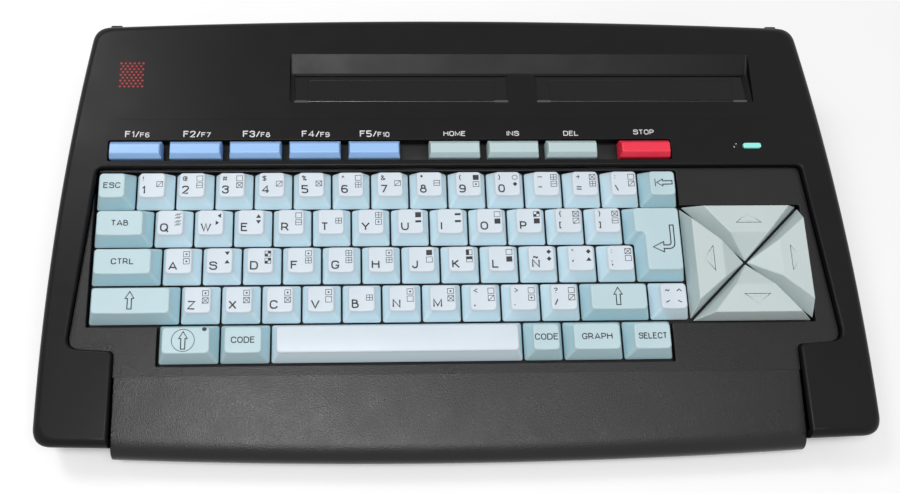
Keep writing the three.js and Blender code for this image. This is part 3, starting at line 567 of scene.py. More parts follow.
@dataclass(frozen=True)
class Moulded:
    """A moulded plastic or rubber."""

    name: str
    code: int
    rough: float = 0.42
    grain: Grain = Grain.SMOOTH
    grain_size: float = 0.3  # size of the texture's bumps
    grain_depth: float = 0.005
    mottle: float = 0.02  # share by which the colour varies
    mottle_size: float = 18.0
    gloss: float = 0.4
    painted_wall_light_code: int = 0  # painted light on a key's walls: a lighter, cooler colour than its top, standing in for light falling on them
    glow: float = 0.0

    def material(self) -> bpy.types.Material:
        """Return the material, made once."""
        known = bpy.data.materials.get(self.name)
        if known:
            return known
        recipe = Recipe(self.name)
        colour = colour_of(self.code)
        blotches = recipe.ranged(recipe.noise(self.mottle_size, 4.0, 0.6), 0.0, 1.0)
        base = recipe.mixed(blotches, scaled(colour, 1.0 - self.mottle), scaled(colour, 1.0 + self.mottle))
        # painted light: the walls get a lighter, cooler colour than the top, fading into the top's colour near it
        if self.painted_wall_light_code:
            low, high = (CAPS.rise - depth for depth in CAPS.painted_wall_light_fade)
            base = recipe.mixed(recipe.above_deck(low, high), colour_of(self.painted_wall_light_code), base)
        recipe.feed(recipe.shader.inputs["Base Color"], base)
        recipe.shader.inputs["Specular IOR Level"].default_value = self.gloss
        fine = recipe.noise(self.mottle_size / 3, 3.0, 0.6)
        wear = recipe.ranged(fine, self.rough - 0.04, self.rough + 0.04)
        recipe.feed(recipe.shader.inputs["Roughness"], wear)
        relief = recipe.noise(self.grain_size, 3.0, 0.55)
        if self.grain is Grain.PEBBLED:
            relief = recipe.cells(self.grain_size)
        normal = recipe.bump(relief, self.grain_depth)
        if self.grain is not Grain.SMOOTH:
            normal = recipe.bump(recipe.noise(self.grain_size * 0.45, 2.0), self.grain_depth * 0.4, normal)
        recipe.feed(recipe.shader.inputs["Normal"], normal)
        if self.glow:
            recipe.shader.inputs["Emission Color"].default_value = colour
            recipe.shader.inputs["Emission Strength"].default_value = self.glow
        return recipe.material


@dataclass(frozen=True)
class Metal:
    """A bare or plated metal."""

    name: str
    code: int
    rough: float = 0.3

    def material(self) -> bpy.types.Material:
        """Return the material, made once."""
        known = bpy.data.materials.get(self.name)
        if known:
            return known
        recipe = Recipe(self.name)
        colour = colour_of(self.code)
        tarnish = recipe.ranged(recipe.noise(6.0, 4.0, 0.6), 0.0, 1.0)
        recipe.feed(recipe.shader.inputs["Base Color"], recipe.mixed(tarnish, scaled(colour, 0.85), colour))
        recipe.shader.inputs["Metallic"].default_value = 1.0
        scuffs = recipe.ranged(recipe.noise(1.5, 3.0), self.rough - 0.08, self.rough + 0.08)
        recipe.feed(recipe.shader.inputs["Roughness"], scuffs)
        recipe.feed(recipe.shader.inputs["Normal"], recipe.bump(recipe.noise(0.3, 2.0), 0.004))
        return recipe.material


class Finishes:
    """The finishes of this object's pieces."""

    DECK = Moulded("deck_black", 0x0F0E10, 0.34, Grain.SMOOTH, 0.5, 0.004, 0.12, 60.0, 0.15)
    GRAINED = Moulded("palm_black", 0x141315, 0.3, Grain.PEBBLED, 0.55, 0.06, 0.12, 40.0, 0.32)
    INSIDE = Moulded("inside_black", 0x0E0D0F, 0.55, Grain.SPARK, 0.6, 0.02, 0.1, 20.0, 0.15)
    GLOSS = Moulded("flap_black", 0x121113, 0.18, Grain.SMOOTH, 0.8, 0.001, 0.1, 40.0, 0.2)
    EDGE = Moulded("flap_edge", 0x1C1B1D, 0.22, Grain.SMOOTH, 0.8, 0.001, 0.1, 40.0, 1.0)
    # the caps' wall colours are painted light on their walls
    WHITE = Moulded("cap_white", 0xD3DDE6, 0.38, painted_wall_light_code=0xDCEFF7)
    GREEN_GREY = Moulded("cap_green_grey", 0xBBD3D9, 0.38, painted_wall_light_code=0xBAD8E0)
    BLUE = Moulded("bar_blue", 0x9AC2F2, 0.3, mottle_size=60.0)
    PALE = Moulded("bar_pale_green", 0xBBCFD1, 0.32, mottle_size=60.0)
    RED = Moulded("bar_red", 0xF0304A, 0.3, mottle_size=60.0)
    PAD = Moulded("pad_green_grey", 0xC4D0D0, 0.4, mottle_size=20.0)
    RUBBER = Moulded("foot_rubber", 0x2B2B2D, 0.8, Grain.SPARK, 0.4, 0.02, 0.1, 5.0)
    LENS = Moulded("lamp_lens", 0x8ADCD2, 0.18, mottle_size=4.0, gloss=0.5, glow=0.25)
    BOARD = Moulded("board_green", 0x2D5A3A, 0.35, Grain.SPARK, 1.5, 0.02, 0.12, 8.0)
    STEEL = Metal("plate_steel", 0xA7A9AC, 0.35)
    GOLD = Metal("contact_gold", 0xD9B25A, 0.25)
    INK_DARK = Moulded("ink_dark", 0x20232B, 0.5, mottle=0.2, mottle_size=1.2)
    INK_BLUE = Moulded("ink_blue", 0x34498A, 0.5, mottle=0.2, mottle_size=1.2)
    INK_GREY = Moulded("ink_grey", 0x8E9EB8, 0.5, mottle=0.15, mottle_size=1.2)
    # white of the printed words, also used for the painted highlights on the lamp's sign
    INK_AND_GLINT_WHITE = Moulded("ink_and_glint_white", 0xDCDCDE, 0.5, mottle=0.1, mottle_size=1.2)
    INK_RED = Moulded("ink_red", 0xB43330, 0.5, mottle=0.2, mottle_size=1.2)
    INK_ROSE = Moulded("ink_rose", 0xF2A7A0, 0.5, mottle=0.15, mottle_size=1.2)


class Ink(Enum):
    """The inks of the keys' legends, by their place in a legend's materials."""

    DARK = 0
    BLUE = 1
    GREY = 2


class Align(Enum):
    """How a word lies about its place."""

    LEFT = "left"
    MIDDLE = "middle"


class Lettering:
    """Wide upright letters drawn as strokes of even width.

    Each point of a stroke is its place across and its height on a grid. An r after it rounds the corner, and an o at
    the stroke's end joins it to its start.
    """

    LOW, HIGH = 1, 8
    ACROSS = 0.87
    WEIGHT = 1.35
    TRACK = 2.4
    REACH = 3.0
    STROKES = dict((pair[0], pair[2:]) for pair in (
        "A=01 48 81,13 73|B=01 08 58r 55r 05,05 65r 61r 01|C=76 78r 08r 01r 71r 73|D=08 78r 71r 01 o|"
        "E=68 08 01 61,05 55|F=68 08 01,05 55|G=76 78r 08r 01r 71r 74 44|H=01 08,71 78,05 75|I=01 08|"
        "J=58 51r 01r 03|K=01 08,68 04,25 71|L=08 01 61|M=01 08 42 88 81|N=01 08 71 78|O=08r 78r 71r 01r o|"
        "P=01 08 68r 64r 04|Q=08r 78r 71r 01r o,53 80|R=01 08 68r 64r 04,44 71|S=76 78r 08r 05r 75r 71r 01r 03|"
        "T=08 68,31 38|U=08 01r 71r 78|V=08 41 88|W=08 31 58 71 a8|X=01 78,08 71|Y=08 44 88,41 44|Z=08 78 01 71|"
        "Ñ=01 08 71 78,1a 2b 5a 6b|0=08r 68r 61r 01r o|1=06 28 21|2=06 08r 68r 65r 01 61|"
        "3=06 08r 68r 65r 25,25 65r 61r 01r 03|4=51 58 03 73|5=68 08 05 65r 61r 01r 02|"
        "6=67 68r 08r 01r 61r 65r 05r 03|7=08 68 21|8=18r 58r 55r 15r o,05r 65r 61r 01r o|"
        "9=02 01r 61r 68r 08r 04r 64r 66|!=04 08,01 02|@=73 71r 01r 08r 78r 74r 54,56r 36r 33r 53r o|"
        "#=11 28,51 68,06 76,03 73|$=67 68r 08r 05r 65r 61r 01r 02,30 39|%=06r 08r 38r 36r o,41r 43r 73r 71r o,11 68|"
        "^=05 28 45|&=71 16r 18r 48r 46r 03r 01r 51r 74|*=25 29,08 46,06 48|(=29 07r 02r 20|)=09 27r 22r 00|"
        "_=05 95|-=16 66|==03 73,06 76|+=05 75,42 48|\\=08 41|/=01 48|:=02 03,06 07|;=06 07,13 01|[=28 08 01 21|"
        "]=08 28 21 01|{=39 19r 16 05 14 10r 30|}=09 29r 26 35 24 20r 00|\"=06 08,26 28|´=06 28|<=62 05 68|"
        ">=02 65 08|,=12 00|.=01 02|?=06 08r 58r 55r 24 23,20 21"
    ).split("|"))

    @classmethod
    def letter(cls, letter: str) -> tuple[float, list[tuple[list[Pair], bool]]]:
        """Return a letter's width and its strokes, in steps of the grid.

        Args:
            letter: The letter.

        Returns:
            The width, and for each stroke its points and whether it is closed.
        """
        strokes = []
        for stroke in cls.STROKES[letter].split(","):
            marks = [mark for mark in stroke.split() if mark != "o"]
            points = [Vector((int(mark[0], 16) * cls.ACROSS, int(mark[1], 16) - cls.LOW)) for mark in marks]
            path = softened(points, [len(mark) > 2 for mark in marks], cls.REACH)
            strokes.append(([(point.x, point.y) for point in path], stroke.endswith("o")))
        return max(x for path, _ in strokes for x, _ in path), strokes

    @classmethod
    def length(cls, body: str) -> float:
        """Return a word's length between the middles of its outer strokes, in steps of the grid."""
        return sum(cls.letter(letter)[0] for letter in body) + cls.TRACK * (len(body) - 1)


class Print:
    """Flat lettering and line work that is laid on a surface."""

    MITRE = 1.6

    def __init__(self) -> None:
        """Start with nothing."""
        self.points: list[Pair] = []
        self.faces: list[tuple[int, ...]] = []
        self.inks: list[int] = []

    def patch(self, points: Sequence[Pair], faces: Sequence[tuple[int, ...]], ink: int) -> None:
        """Add faces.

        Args:
            points: Their points.
            faces: Numbers of the points of each.
            ink: Number of their ink.
        """
        first = len(self.points)
        self.points.extend(points)
        for corners in faces:
            self.faces.append(tuple(number + first for number in corners))
            self.inks.append(ink)

    def word(
        self, body: str, at: Pair, height: float, align: Align = Align.MIDDLE, stretch: float = 1.0,
        weight: float = Lettering.WEIGHT,
    ) -> None:
        """Add a word.

        Args:
            body: The word.
            at: Its left end or its middle, at half the height of a capital.
            height: Height of a capital.
            align: How it lies about its place.
            stretch: How much wider than the plain letters.
            weight: Width of its strokes, in steps of the grid.
        """
        full = Lettering.HIGH - Lettering.LOW
        step = height / (full + weight)
        across = step * stretch
        half = Lettering.length(body) * across / 2
        start = at[0] + weight * step / 2 if align is Align.LEFT else at[0] - half
        for width, strokes in map(Lettering.letter, body):
            for path, closed in strokes:
                placed = [(start + x * across, at[1] + (y - full / 2) * step) for x, y in path]
                self.line(placed, weight * step, closed=closed)
            start += (width + Lettering.TRACK) * across

    def line(self, path: Sequence[Pair], width: float, ink: int = 0, closed: bool = False) -> None:
        """Add a line of even width with mitred corners.

        Args:
            path: Its points.
            width: Its width.
            ink: Number of its ink.
            closed: Whether its end joins its start.
        """
        points = [Vector(pair) for pair in path]
        count = len(points)
        sides: list[tuple[Vector, Vector]] = []
        for number, point in enumerate(points):
            before = points[number - 1] if closed or number else None
            after = points[(number + 1) % count] if closed or number < count - 1 else None
            first = (point - before).normalized() if before is not None else (after - point).normalized()
            second = (after - point).normalized() if after is not None else first
            normal = Vector((-first.y - second.y, first.x + second.x)) / (1 + first.dot(second))
            normal *= min(1.0, self.MITRE / normal.length)
            sides.append((point + normal * width / 2, point - normal * width / 2))
        flat = [(side.x, side.y) for pair in sides for side in pair]
        last = count if closed else count - 1
        quads = [
            (2 * i + 1, 2 * ((i + 1) % count) + 1, 2 * ((i + 1) % count), 2 * i) for i in range(last)
        ]
        self.patch(flat, quads, ink)

    def fill(self, path: Sequence[Pair], ink: int = 0) -> None:
        """Add a filled polygon, anticlockwise."""
        triangles = tessellate_polygon([[Vector((x, y, 0.0)) for x, y in path]])
        self.patch(path, [tuple(corners) for corners in triangles], ink)

    def disc(self, at: Pair, radius: float, stretch: float = 1.0) -> None:
        """Add a filled disc."""
        self.fill([(at[0] + x * stretch, at[1] + y) for x, y in circle(radius)])

    def mesh(self, name: str, lay: Callable[[float, float], Vector], matrix: Matrix) -> bpy.types.Mesh:
        """Return the print as a mesh on a surface.

        Args:
            name: The mesh's name.
            lay: Gives the surface's point at a flat place.
            matrix: Turns the points into world metres.

        Returns:
            The mesh.
        """
        sculpt = Sculpt()
        sculpt.ring(lay(x, y) for x, y in self.points)
        for corners, ink in zip(self.faces, self.inks):
            a, b, c = (Vector(self.points[number]) for number in corners[:3])
            turned = (b - a).cross(c - a) < 0
            sculpt.face(corners[::-1] if turned else corners, ink)
        return sculpt.mesh(name, matrix)


def circle(radius: float, sides: int = 24, start: float = 0.0) -> list[Pair]:
    """Return the points of a circle, anticlockwise."""
    angles = [start + 2 * math.pi * number / sides for number in range(sides)]
    return [(radius * math.cos(angle), radius * math.sin(angle)) for angle in angles]


def on_deck(x: float, y: float) -> Vector:
    """Return a print's place on the deck."""
    return Vector((x, y, INK_LIFT))


def add_print(
    name: str, sheet: Print, lay: Callable[[float, float], Vector], matrix: Matrix, inks: Sequence[Moulded],
    body: str = CASE_BODY,
) -> None:
    """Put a print on the object, laid on a surface as Print.mesh takes it."""
    add_piece(name, sheet.mesh(name, lay, matrix), inks, body, weighted=False)


@dataclass(frozen=True)
class CapSizes:
    """Sizes of a typing key's cap."""

    pitch: float = 19.05  # from one key to the next
    gap: float = 0.9  # between two skirts
    rise: float = 5.0  # top above the deck
    skirt: float = 4.5  # lower edge below the deck
    draw: float = 2.9  # how far each side leans in
    fillet: float = 0.85  # radius of the edge round the top
    lean: float = 0.5  # how far the top lies to the rear
    skirt_round: float = 1.3
    top_round: float = 2.0
    dish: float = 0.4  # depth of the hollow across the top
    stem: float = 4.4
    stem_depth: float = 12.0  # lower end of the stem
    hem: float = 0.35
    painted_wall_light_fade: Span = (2.2, 0.7)  # depths below the top between which the walls' painted light turns into the top's colour


CAPS = CapSizes()


class Crown(Enum):
    """The form of a cap's top."""

    DISHED = "dished"
    ARCHED = "arched"
    FLAT = "flat"


class KeyCap:
    """A typing key's cap."""

    ROUNDING = 4
    CORNER_STEPS = 5
    SIDE_STEPS = 6
    INNER_SHARES = (0.8, 0.6, 0.4, 0.2, 0.03)

    def __init__(self, corners: Sequence[Vector], stems: Sequence[Pair], crown: Crown) -> None:
        """Keep the cap's outline.

        Args:
            corners: Corners of its skirt about its middle.
            stems: Places of its stems.
            crown: Form of its top.
        """
        self.corners = list(corners)
        self.stems = list(stems)
        self.crown = crown
        reach = CAPS.draw + CAPS.fillet * 0.5
        self.half_width = max(point.x for point in corners) - reach
        self.half_depth = max(point.y for point in corners) - reach

    def sink(self, x: float, y: float) -> float:
        """Return how far the top lies below its edge at a place."""
        if self.crown is Crown.DISHED:
            return CAPS.dish * max(0.0, 1.0 - (x / self.half_width) ** 2)
        if self.crown is Crown.ARCHED:
            return CAPS.dish * min(1.0, (y / self.half_depth) ** 2)
        return 0.0

    def top(self, x: float, y: float) -> Vector:
        """Return the top's point at a place, with a hair's height for ink."""
        return Vector((x, y + CAPS.lean, CAPS.rise - self.sink(x, y) + INK_LIFT))

    def ring(self, inwards: float, height: float, share: float, lean: float) -> list[Vector]:
        """Return the cap's outline inside a margin.

        Args:
            inwards: The margin.
            height: Its height.
            share: How much of the top's hollow it follows.
            lean: How far it lies to the rear.

        Returns:
            The ring's points.
        """
        corner = CAPS.skirt_round if inwards < CAPS.draw else CAPS.top_round
        bare = rounded(inset(self.corners, inwards), corner, self.CORNER_STEPS)
        flat = []
        for number, point in enumerate(bare):
            parts = 1 if number % (self.CORNER_STEPS + 1) else self.SIDE_STEPS
            after = bare[(number + 1) % len(bare)]
            flat += [point.lerp(after, part / parts) for part in range(parts)]
        return [Vector((p.x, p.y + lean, height - share * self.sink(p.x, p.y))) for p in flat]

    def sculpt(self) -> Sculpt:
        """Return the cap with its stems."""
        rings = [
            self.ring(CAPS.hem, -CAPS.skirt, 0.0, 0.0),
            self.ring(0.0, -CAPS.skirt + CAPS.hem, 0.0, 0.0),
            self.ring(CAPS.draw, CAPS.rise - CAPS.fillet, 0.0, CAPS.lean),
        ]
        for step in range(1, self.ROUNDING + 1):
            angle = math.pi / 2 * step / self.ROUNDING
            inwards = CAPS.draw + CAPS.fillet * (1 - math.cos(angle))
            height = CAPS.rise - CAPS.fillet + CAPS.fillet * math.sin(angle)
            rings.append(self.ring(inwards, height, math.sin(angle), CAPS.lean))
        if self.crown is not Crown.FLAT:
            edge = [Vector((point.x, point.y - CAPS.lean)) for point in rings[-1]]
            for share in self.INNER_SHARES:
                rings.append([
                    Vector((p.x * share, p.y * share + CAPS.lean, CAPS.rise - self.sink(p.x * share, p.y * share)))
                    for p in edge
                ])
        made = Sculpt().loft(rings)
        for x, y in self.stems:
            made.box(about(x, CAPS.stem), about(y, CAPS.stem), (-CAPS.stem_depth, -CAPS.skirt + 0.5))
        return made


class Mark(Enum):
    """What is printed on a key."""

    BLANK = "blank"
    LETTER = "letter"
    WORD = "word"
    SHIFT = "shift"
    LOCK = "lock"
    ENTER = "enter"
    RUB_OUT = "rub out"
    ACCENTS = "accents"


class Tone(Enum):
    """The colour of a typing key."""

    WHITE = "key_white"
    GREEN_GREY = "key_grey_green"


@dataclass(frozen=True)
class Key:
    """A typing key."""

    name: str  # the body that it is, or nothing for a key that is fixed to the key frame
    share: float = 1.0
    mark: Mark = Mark.LETTER  # what is printed on it
    text: str = ""
    upper: str = ""
    glyphs: str = ""  # its two small signs, as letters of GlyphPrinter
    tone: Tone = Tone.WHITE


def control(name: str, share: float, mark: Mark, text: str = "") -> Key:
    """Return a green-grey key."""
    return Key(name, share, mark, text, tone=Tone.GREEN_GREY)


def plain(signs: str, glyph_pairs: str, names: Sequence[str] = ()) -> list[Key]:
    """Return keys one pitch wide.

    Args:
        signs: For each key its letter and the sign above it, or a blank.
        glyph_pairs: For each key its two small signs, or blanks.
        names: The keys' bodies, where they move.

    Returns:
        The keys.
    """
    made = []
    for place in range(len(signs) // 2):
        letter, upper = signs[2 * place : 2 * place + 2]
        pair = glyph_pairs[2 * place : 2 * place + 2].strip()
        made.append(Key(names[place] if names else "", 1.0, Mark.LETTER, letter, upper.strip(), pair))
    return made


HOME_KEYS = ("a", "s", "d", "f", "g", "h", "j", "k", "l", "n_tilde", "acute", "semicolon")
ROWS: tuple[tuple[float, list[Key]], ...] = (
    (0.0, [
        control("escape", 1.0, Mark.WORD, "ESC"),
        *plain("1!2@3#4$5%6^7&8*9(0)-_=+\\:", "d bwbxd x bpd w formpwxpbd"),
        control("backspace", 1.0, Mark.RUB_OUT),
    ]),
    (0.0, [
        control("tab", 1.5, Mark.WORD, "TAB"),
        *plain("Q W E R T Y U I O P [{]}", "hhaztvbwp pofnnnbfcfxdxw"),
    ]),
    (0.0, [
        control("control", 1.75, Mark.WORD, "CTRL"),
        *plain("A S D F G H J K L Ñ ´\";:", "oovtccopppopfblubfmmmtxb", HOME_KEYS),
    ]),
    (0.0, [
        control("shift_left", 2.25, Mark.SHIFT),
        *plain("Z X C V B N M ,<.>/?", "oxoxoxobp oboxbdbobd"),
        control("shift_right", 1.75, Mark.SHIFT),
        Key("", 1.0, Mark.ACCENTS),
    ]),
    (1.75, [
        control("caps", 1.5, Mark.LOCK),
        control("code_left", 1.25, Mark.WORD, "CODE"),
        Key("space", 6.25, Mark.BLANK),
        control("code_right", 1.0, Mark.WORD, "CODE"),
        control("graph", 1.5, Mark.WORD, "GRAPH"),
        control("select", 1.25, Mark.WORD, "SELECT"),
    ]),
)


class GlyphPrinter:
    """Draws the small signs beside the letters."""

    WIDTH = 2.8
    DEPTH = 2.6
    LINE = 0.26
    FILLED = "fnclu"
    SOLID = "tvazm"

    def __init__(self, sheet: Print) -> None:
        """Draw on a print."""
        self.sheet = sheet

    def draw(self, sign: str, at: Pair) -> None:
        """Draw a sign.

        Args:
            sign: Its letter.
            at: Its middle.
        """
        a, b = self.WIDTH / 2, self.DEPTH / 2
        ink = Ink.BLUE if sign in self.FILLED else Ink.DARK if sign in self.SOLID else Ink.GREY

        def placed(path: Sequence[Pair]) -> list[Pair]:
            """Return a path, given in halves of the sign, at the sign's place."""
            return [(at[0] + x * a, at[1] + y * b) for x, y in path]

        corners = [(-1, -1), (1, -1), (1, 1), (-1, 1)]
        if sign in "bdxwopclu":
            self.sheet.line(placed(corners), self.LINE, ink.value, closed=True)
        strokes = {
            "d": [[(-1, -1), (1, 1)]],
            "x": [[(-1, -1), (1, 1)], [(-1, 1), (1, -1)]],
            "w": [[(-1, 0), (1, 0)]],
            "p": [[(-1, 0), (1, 0)], [(0, -1), (0, 1)]],
            "h": [[(x - 0.5, y), (x + 0.5, y + 0.8)] for x in (-0.6, 0.0, 0.6) for y in (-1.0, 0.2)],
            "r": [[*circle(0.9, 12), (0.9, 0.0)]],
        }
        for path in strokes.get(sign, []):
            self.sheet.line(placed(path), self.LINE, ink.value)
        fills = {
            "f": [corners],
            "n": [[(-1, -0.3), (1, -0.3), (1, 0.5), (-1, 0.5)]],
            "l": [[(-1, -1), (0, -1), (0, 1), (-1, 1)]],
            "u": [[(-1, 0), (1, 0), (1, 1), (-1, 1)]],
            "c": [[(-1, -1), (0, -1), (0, 0), (-1, 0)], [(0, 0), (1, 0), (1, 1), (0, 1)]],
            "t": [[(-0.9, -0.9), (0.9, -0.9), (0, 0.5)]],
            "v": [[(-0.9, 0.9), (0, -0.5), (0.9, 0.9)]],
            "a": [[(0.9, 0.9), (-0.3, 0), (0.9, -0.9)]],
            "z": [[(-0.9, -0.9), (0.3, 0), (-0.9, 0.9)]],
            "m": [[(-0.8, 0), (0, -0.9), (0.8, 0), (0, 0.9)]],
            "o": [circle(0.35, 8)],
        }
        for path in fills.get(sign, []):
            self.sheet.fill(placed(path), Ink.DARK.value if sign == "o" else ink.value)


class LegendPrinter:
    """Draws what is printed on a typing key, about the middle of its top."""

    LETTER_LEFT = -4.7
    LETTER_LOW = -2.5
    UPPER_HIGH = 3.2
    LETTER = 4.2
    UPPER = 2.5
    WORD = 3.0
    LINE = 0.5
    SIGN = 3.6
    SIGN_HIGH = 3.2
    SIGN_PITCH = 3.5

    def __init__(self) -> None:
        """Start with an empty print."""
        self.sheet = Print()
        self.glyphs = GlyphPrinter(self.sheet)

    def draw(self, key: Key) -> Print:
        """Draw a key's legend.

        Args:
            key: The key.

        Returns:
            The print.
        """
        if key.mark is Mark.LETTER:
            self.letter(key)
        elif key.mark is Mark.WORD:
            tight = 0.8 if len(key.text) > 5 else 0.96
            self.sheet.word(key.text, (0.0, 0.0), self.WORD, stretch=tight)
        elif key.mark is Mark.SHIFT:
            self.arrow((-0.4, 0.2), 8.4, math.pi / 2)
        elif key.mark is Mark.LOCK:
            self.arrow((-1.2, 0.0), 8.2, math.pi / 2)
            self.sheet.line([(x - 1.2, y) for x, y in circle(5.2, 36)], 0.3, closed=True)
            self.sheet.disc((self.lamp_place(key), 5.1), 0.9, stretch=1.25)
        elif key.mark is Mark.RUB_OUT:
            self.arrow((0.9, 0.2), 7.6, math.pi)
            self.sheet.line([(-3.6, -1.8), (-3.6, 2.2)], 0.4)
        elif key.mark is Mark.ACCENTS:
            self.accents()
        return self.sheet

    @staticmethod
    def lamp_place(key: Key) -> float:
        """Return where the lock key's lamp hole lies."""
        return key.share * CAPS.pitch / 2 - CAPS.draw - CAPS.fillet - 2.1

    def letter(self, key: Key) -> None:
        """Draw a letter, the sign above it and the small signs."""
        low = self.LETTER_LOW
        size = self.LETTER if key.text.isalnum() else self.LETTER * 0.8
        self.sheet.word(key.text, (self.LETTER_LEFT, low), size, Align.LEFT)
        if key.upper:
            self.sheet.word(key.upper, (self.LETTER_LEFT + 0.2, self.UPPER_HIGH), self.UPPER, Align.LEFT)
        for place, sign in enumerate(key.glyphs):
            lower = place if len(key.glyphs) > 1 else 0.8
            self.glyphs.draw(sign, (self.SIGN, self.SIGN_HIGH - lower * self.SIGN_PITCH))

    def arrow(self, at: Pair, length: float, angle: float) -> None:
        """Draw the outline of an arrow.

        Args:
            at: Its middle.
            length: Its length.
            angle: The direction it points in.
        """
        half = length / 2
        head, wide, slim = length * 0.4, length * 0.24, length * 0.115
        path = [
            (-half, -slim), (half - head, -slim), (half - head, -wide), (half, 0.0), (half - head, wide),
            (half - head, slim), (-half, slim),
        ]
        turn = Matrix.Rotation(angle, 2)
        turned = [turn @ Vector(pair) for pair in path]
        self.sheet.line([(at[0] + p.x, at[1] + p.y) for p in turned], self.LINE, closed=True)

    def accents(self) -> None:
        """Draw four accents round the middle of the key."""
        strokes = [
            [(-4.0, 2.4), (-3.4, 3.0), (-2.6, 2.5), (-1.9, 3.1)],
            [(1.6, 2.3), (2.7, 3.3), (3.8, 2.3)],
            [(-4.0, -3.2), (-2.2, -2.2)],
            [(1.8, -2.2), (3.6, -3.2)],
        ]
        for path in strokes:
            self.sheet.line(path, 0.45)

    def enter(self) -> Print:
        """Draw the return key's bent arrow."""
        bend = bent(Vector((3.4, -1.4)), Vector((3.4, -4.1)), Vector((0.6, -4.1)), 6)
        inner = bent(Vector((0.6, -2.5)), Vector((1.8, -2.5)), Vector((1.8, -1.0)), 6)
        path = [
            (3.4, 6.4), (3.4, -1.4), *[(p.x, p.y) for p in bend], (-1.4, -4.1), (-1.4, -5.6), (-6.0, -3.3),
            (-1.4, -1.0), (-1.4, -2.5), (0.6, -2.5), *[(p.x, p.y) for p in inner], (1.8, 6.4),
        ]
        self.sheet.line(path[::-1], self.LINE, closed=True)
        return self.sheet


@dataclass(frozen=True)
class BlockSizes:
    """Where the typing keys stand, in the deck's frame."""

    left: float = -174.775
    rear: float = 25.35
    pitches: float = 15.0
    enter_upper: float = 1.5  # width of the return key's upper part, in pitches
    enter_lower: float = 1.25
    side_stem: float = 40.0  # the space bar's side stems, from its middle


@dataclass(frozen=True)
class Keyboard:
    """The typing keys, their legends and the plate under them."""

    sizes: BlockSizes = BlockSizes()
    inks: tuple[Moulded, ...] = (Finishes.INK_DARK, Finishes.INK_BLUE, Finishes.INK_GREY)
    plate_along: Span = (-71.1, 46.0)
    plate_up: Span = (-10.6, -8.6)
    cheek: float = 2.0  # thickness of the walls under the plate's ends
    cheek_along: Span = (-71.1, 41.7)
    cheek_up: Span = (-15.5, -10.5)
    enter_scale: float = 1.13  # the return key's legend, against the one that LegendPrinter draws
    enter_shift: Pair = (8.6, -0.6)

    def build(self) -> None:
        """Make every key and the plate."""
        for row, (start, keys) in enumerate(ROWS):
            left = self.sizes.left + start * CAPS.pitch
            for place, key in enumerate(keys):
                width = key.share * CAPS.pitch
                middle = Vector((left + width / 2, self.sizes.rear - (row + 0.5) * CAPS.pitch, 0.0))
                self.key(key, middle, f"{row + 1}_{place + 1}")
                left += width
        self.enter()
        self.plate()

    def key(self, key: Key, middle: Vector, label: str) -> None:
        """Make a key.

        Args:
            key: The key.
            middle: Its place in the deck's frame.
            label: Row and place, which name a key without a body.
        """
        width = key.share * CAPS.pitch
        corners = rectangle(about(0.0, width - CAPS.gap), about(0.0, CAPS.pitch - CAPS.gap))
        wide = key.share > 4
        stems = [(x, 0.0) for x in ((-self.sizes.side_stem, 0.0, self.sizes.side_stem) if wide else (0.0,))]
        cap = KeyCap(corners, stems, Crown.ARCHED if wide else Crown.DISHED)
        sheet = LegendPrinter().draw(key)
        self.dress(cap, sheet, key, middle, label)

    def dress(self, cap: KeyCap, sheet: Print, key: Key, middle: Vector, label: str) -> None:
        """Put a cap and its legend in place.

        Args:
            cap: The cap.
            sheet: Its legend.
            key: The key.
            middle: Its place in the deck's frame.
            label: Row and place.
        """
        node = f"key_{key.name}" if key.name else "key_frame"
        body = node if key.name else CASE_BODY
        name = f"cap_{key.name or label}"
        finish = Finishes.WHITE if key.tone is Tone.WHITE else Finishes.GREEN_GREY
        matrix = DECK.matrix() @ Matrix.Translation(middle)
        add_shape(name, cap.sculpt(), matrix, finish, body=body, slot=key.tone.value, nodes=[node])
        if sheet.points:
            add_print(f"legend_{key.name or label}", sheet, cap.top, matrix, self.inks, body)

    def enter(self) -> None:
        """Make the return key, whose lower part is narrower."""
        sizes = self.sizes
        right = CAPS.pitch / 2 + (sizes.enter_upper - 1) * CAPS.pitch
        upper = right - sizes.enter_upper * CAPS.pitch + CAPS.gap / 2
        lower = right - sizes.enter_lower * CAPS.pitch + CAPS.gap / 2
        edge, rear, step = right - CAPS.gap / 2, CAPS.pitch - CAPS.gap / 2, CAPS.gap / 2
        pairs = [(lower, -rear), (edge, -rear), (edge, rear), (upper, rear), (upper, step), (lower, step)]
        stems = [(0.0, -CAPS.pitch / 2), (0.0, CAPS.pitch / 2)]
        cap = KeyCap([Vector(pair) for pair in pairs], stems, Crown.FLAT)
        key = Key("return", mark=Mark.ENTER, tone=Tone.GREEN_GREY)
        middle = Vector((sizes.left + sizes.pitches * CAPS.pitch - right, sizes.rear - 2 * CAPS.pitch, 0.0))
        sheet = LegendPrinter().enter()
        scale, (aside, along) = self.enter_scale, self.enter_shift
        sheet.points = [(x * scale + aside, y * scale + along) for x, y in sheet.points]
        self.dress(cap, sheet, key, middle, "return")

    def plate(self) -> None:
        """Make the plate that guides the keys, seen only in the gaps between them."""
        low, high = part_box("dome_mat")
        across = (low.x / METRES, high.x / METRES)
        made = Sculpt().box(across, self.plate_along, self.plate_up)
        for ends in ((across[0], across[0] + self.cheek), (across[1] - self.cheek, across[1])):
            made.box(ends, self.cheek_along, self.cheek_up)
        add_shape("key_plate", made, DECK.matrix(), Finishes.INSIDE, slot="inside_black", nodes=["key_frame"])


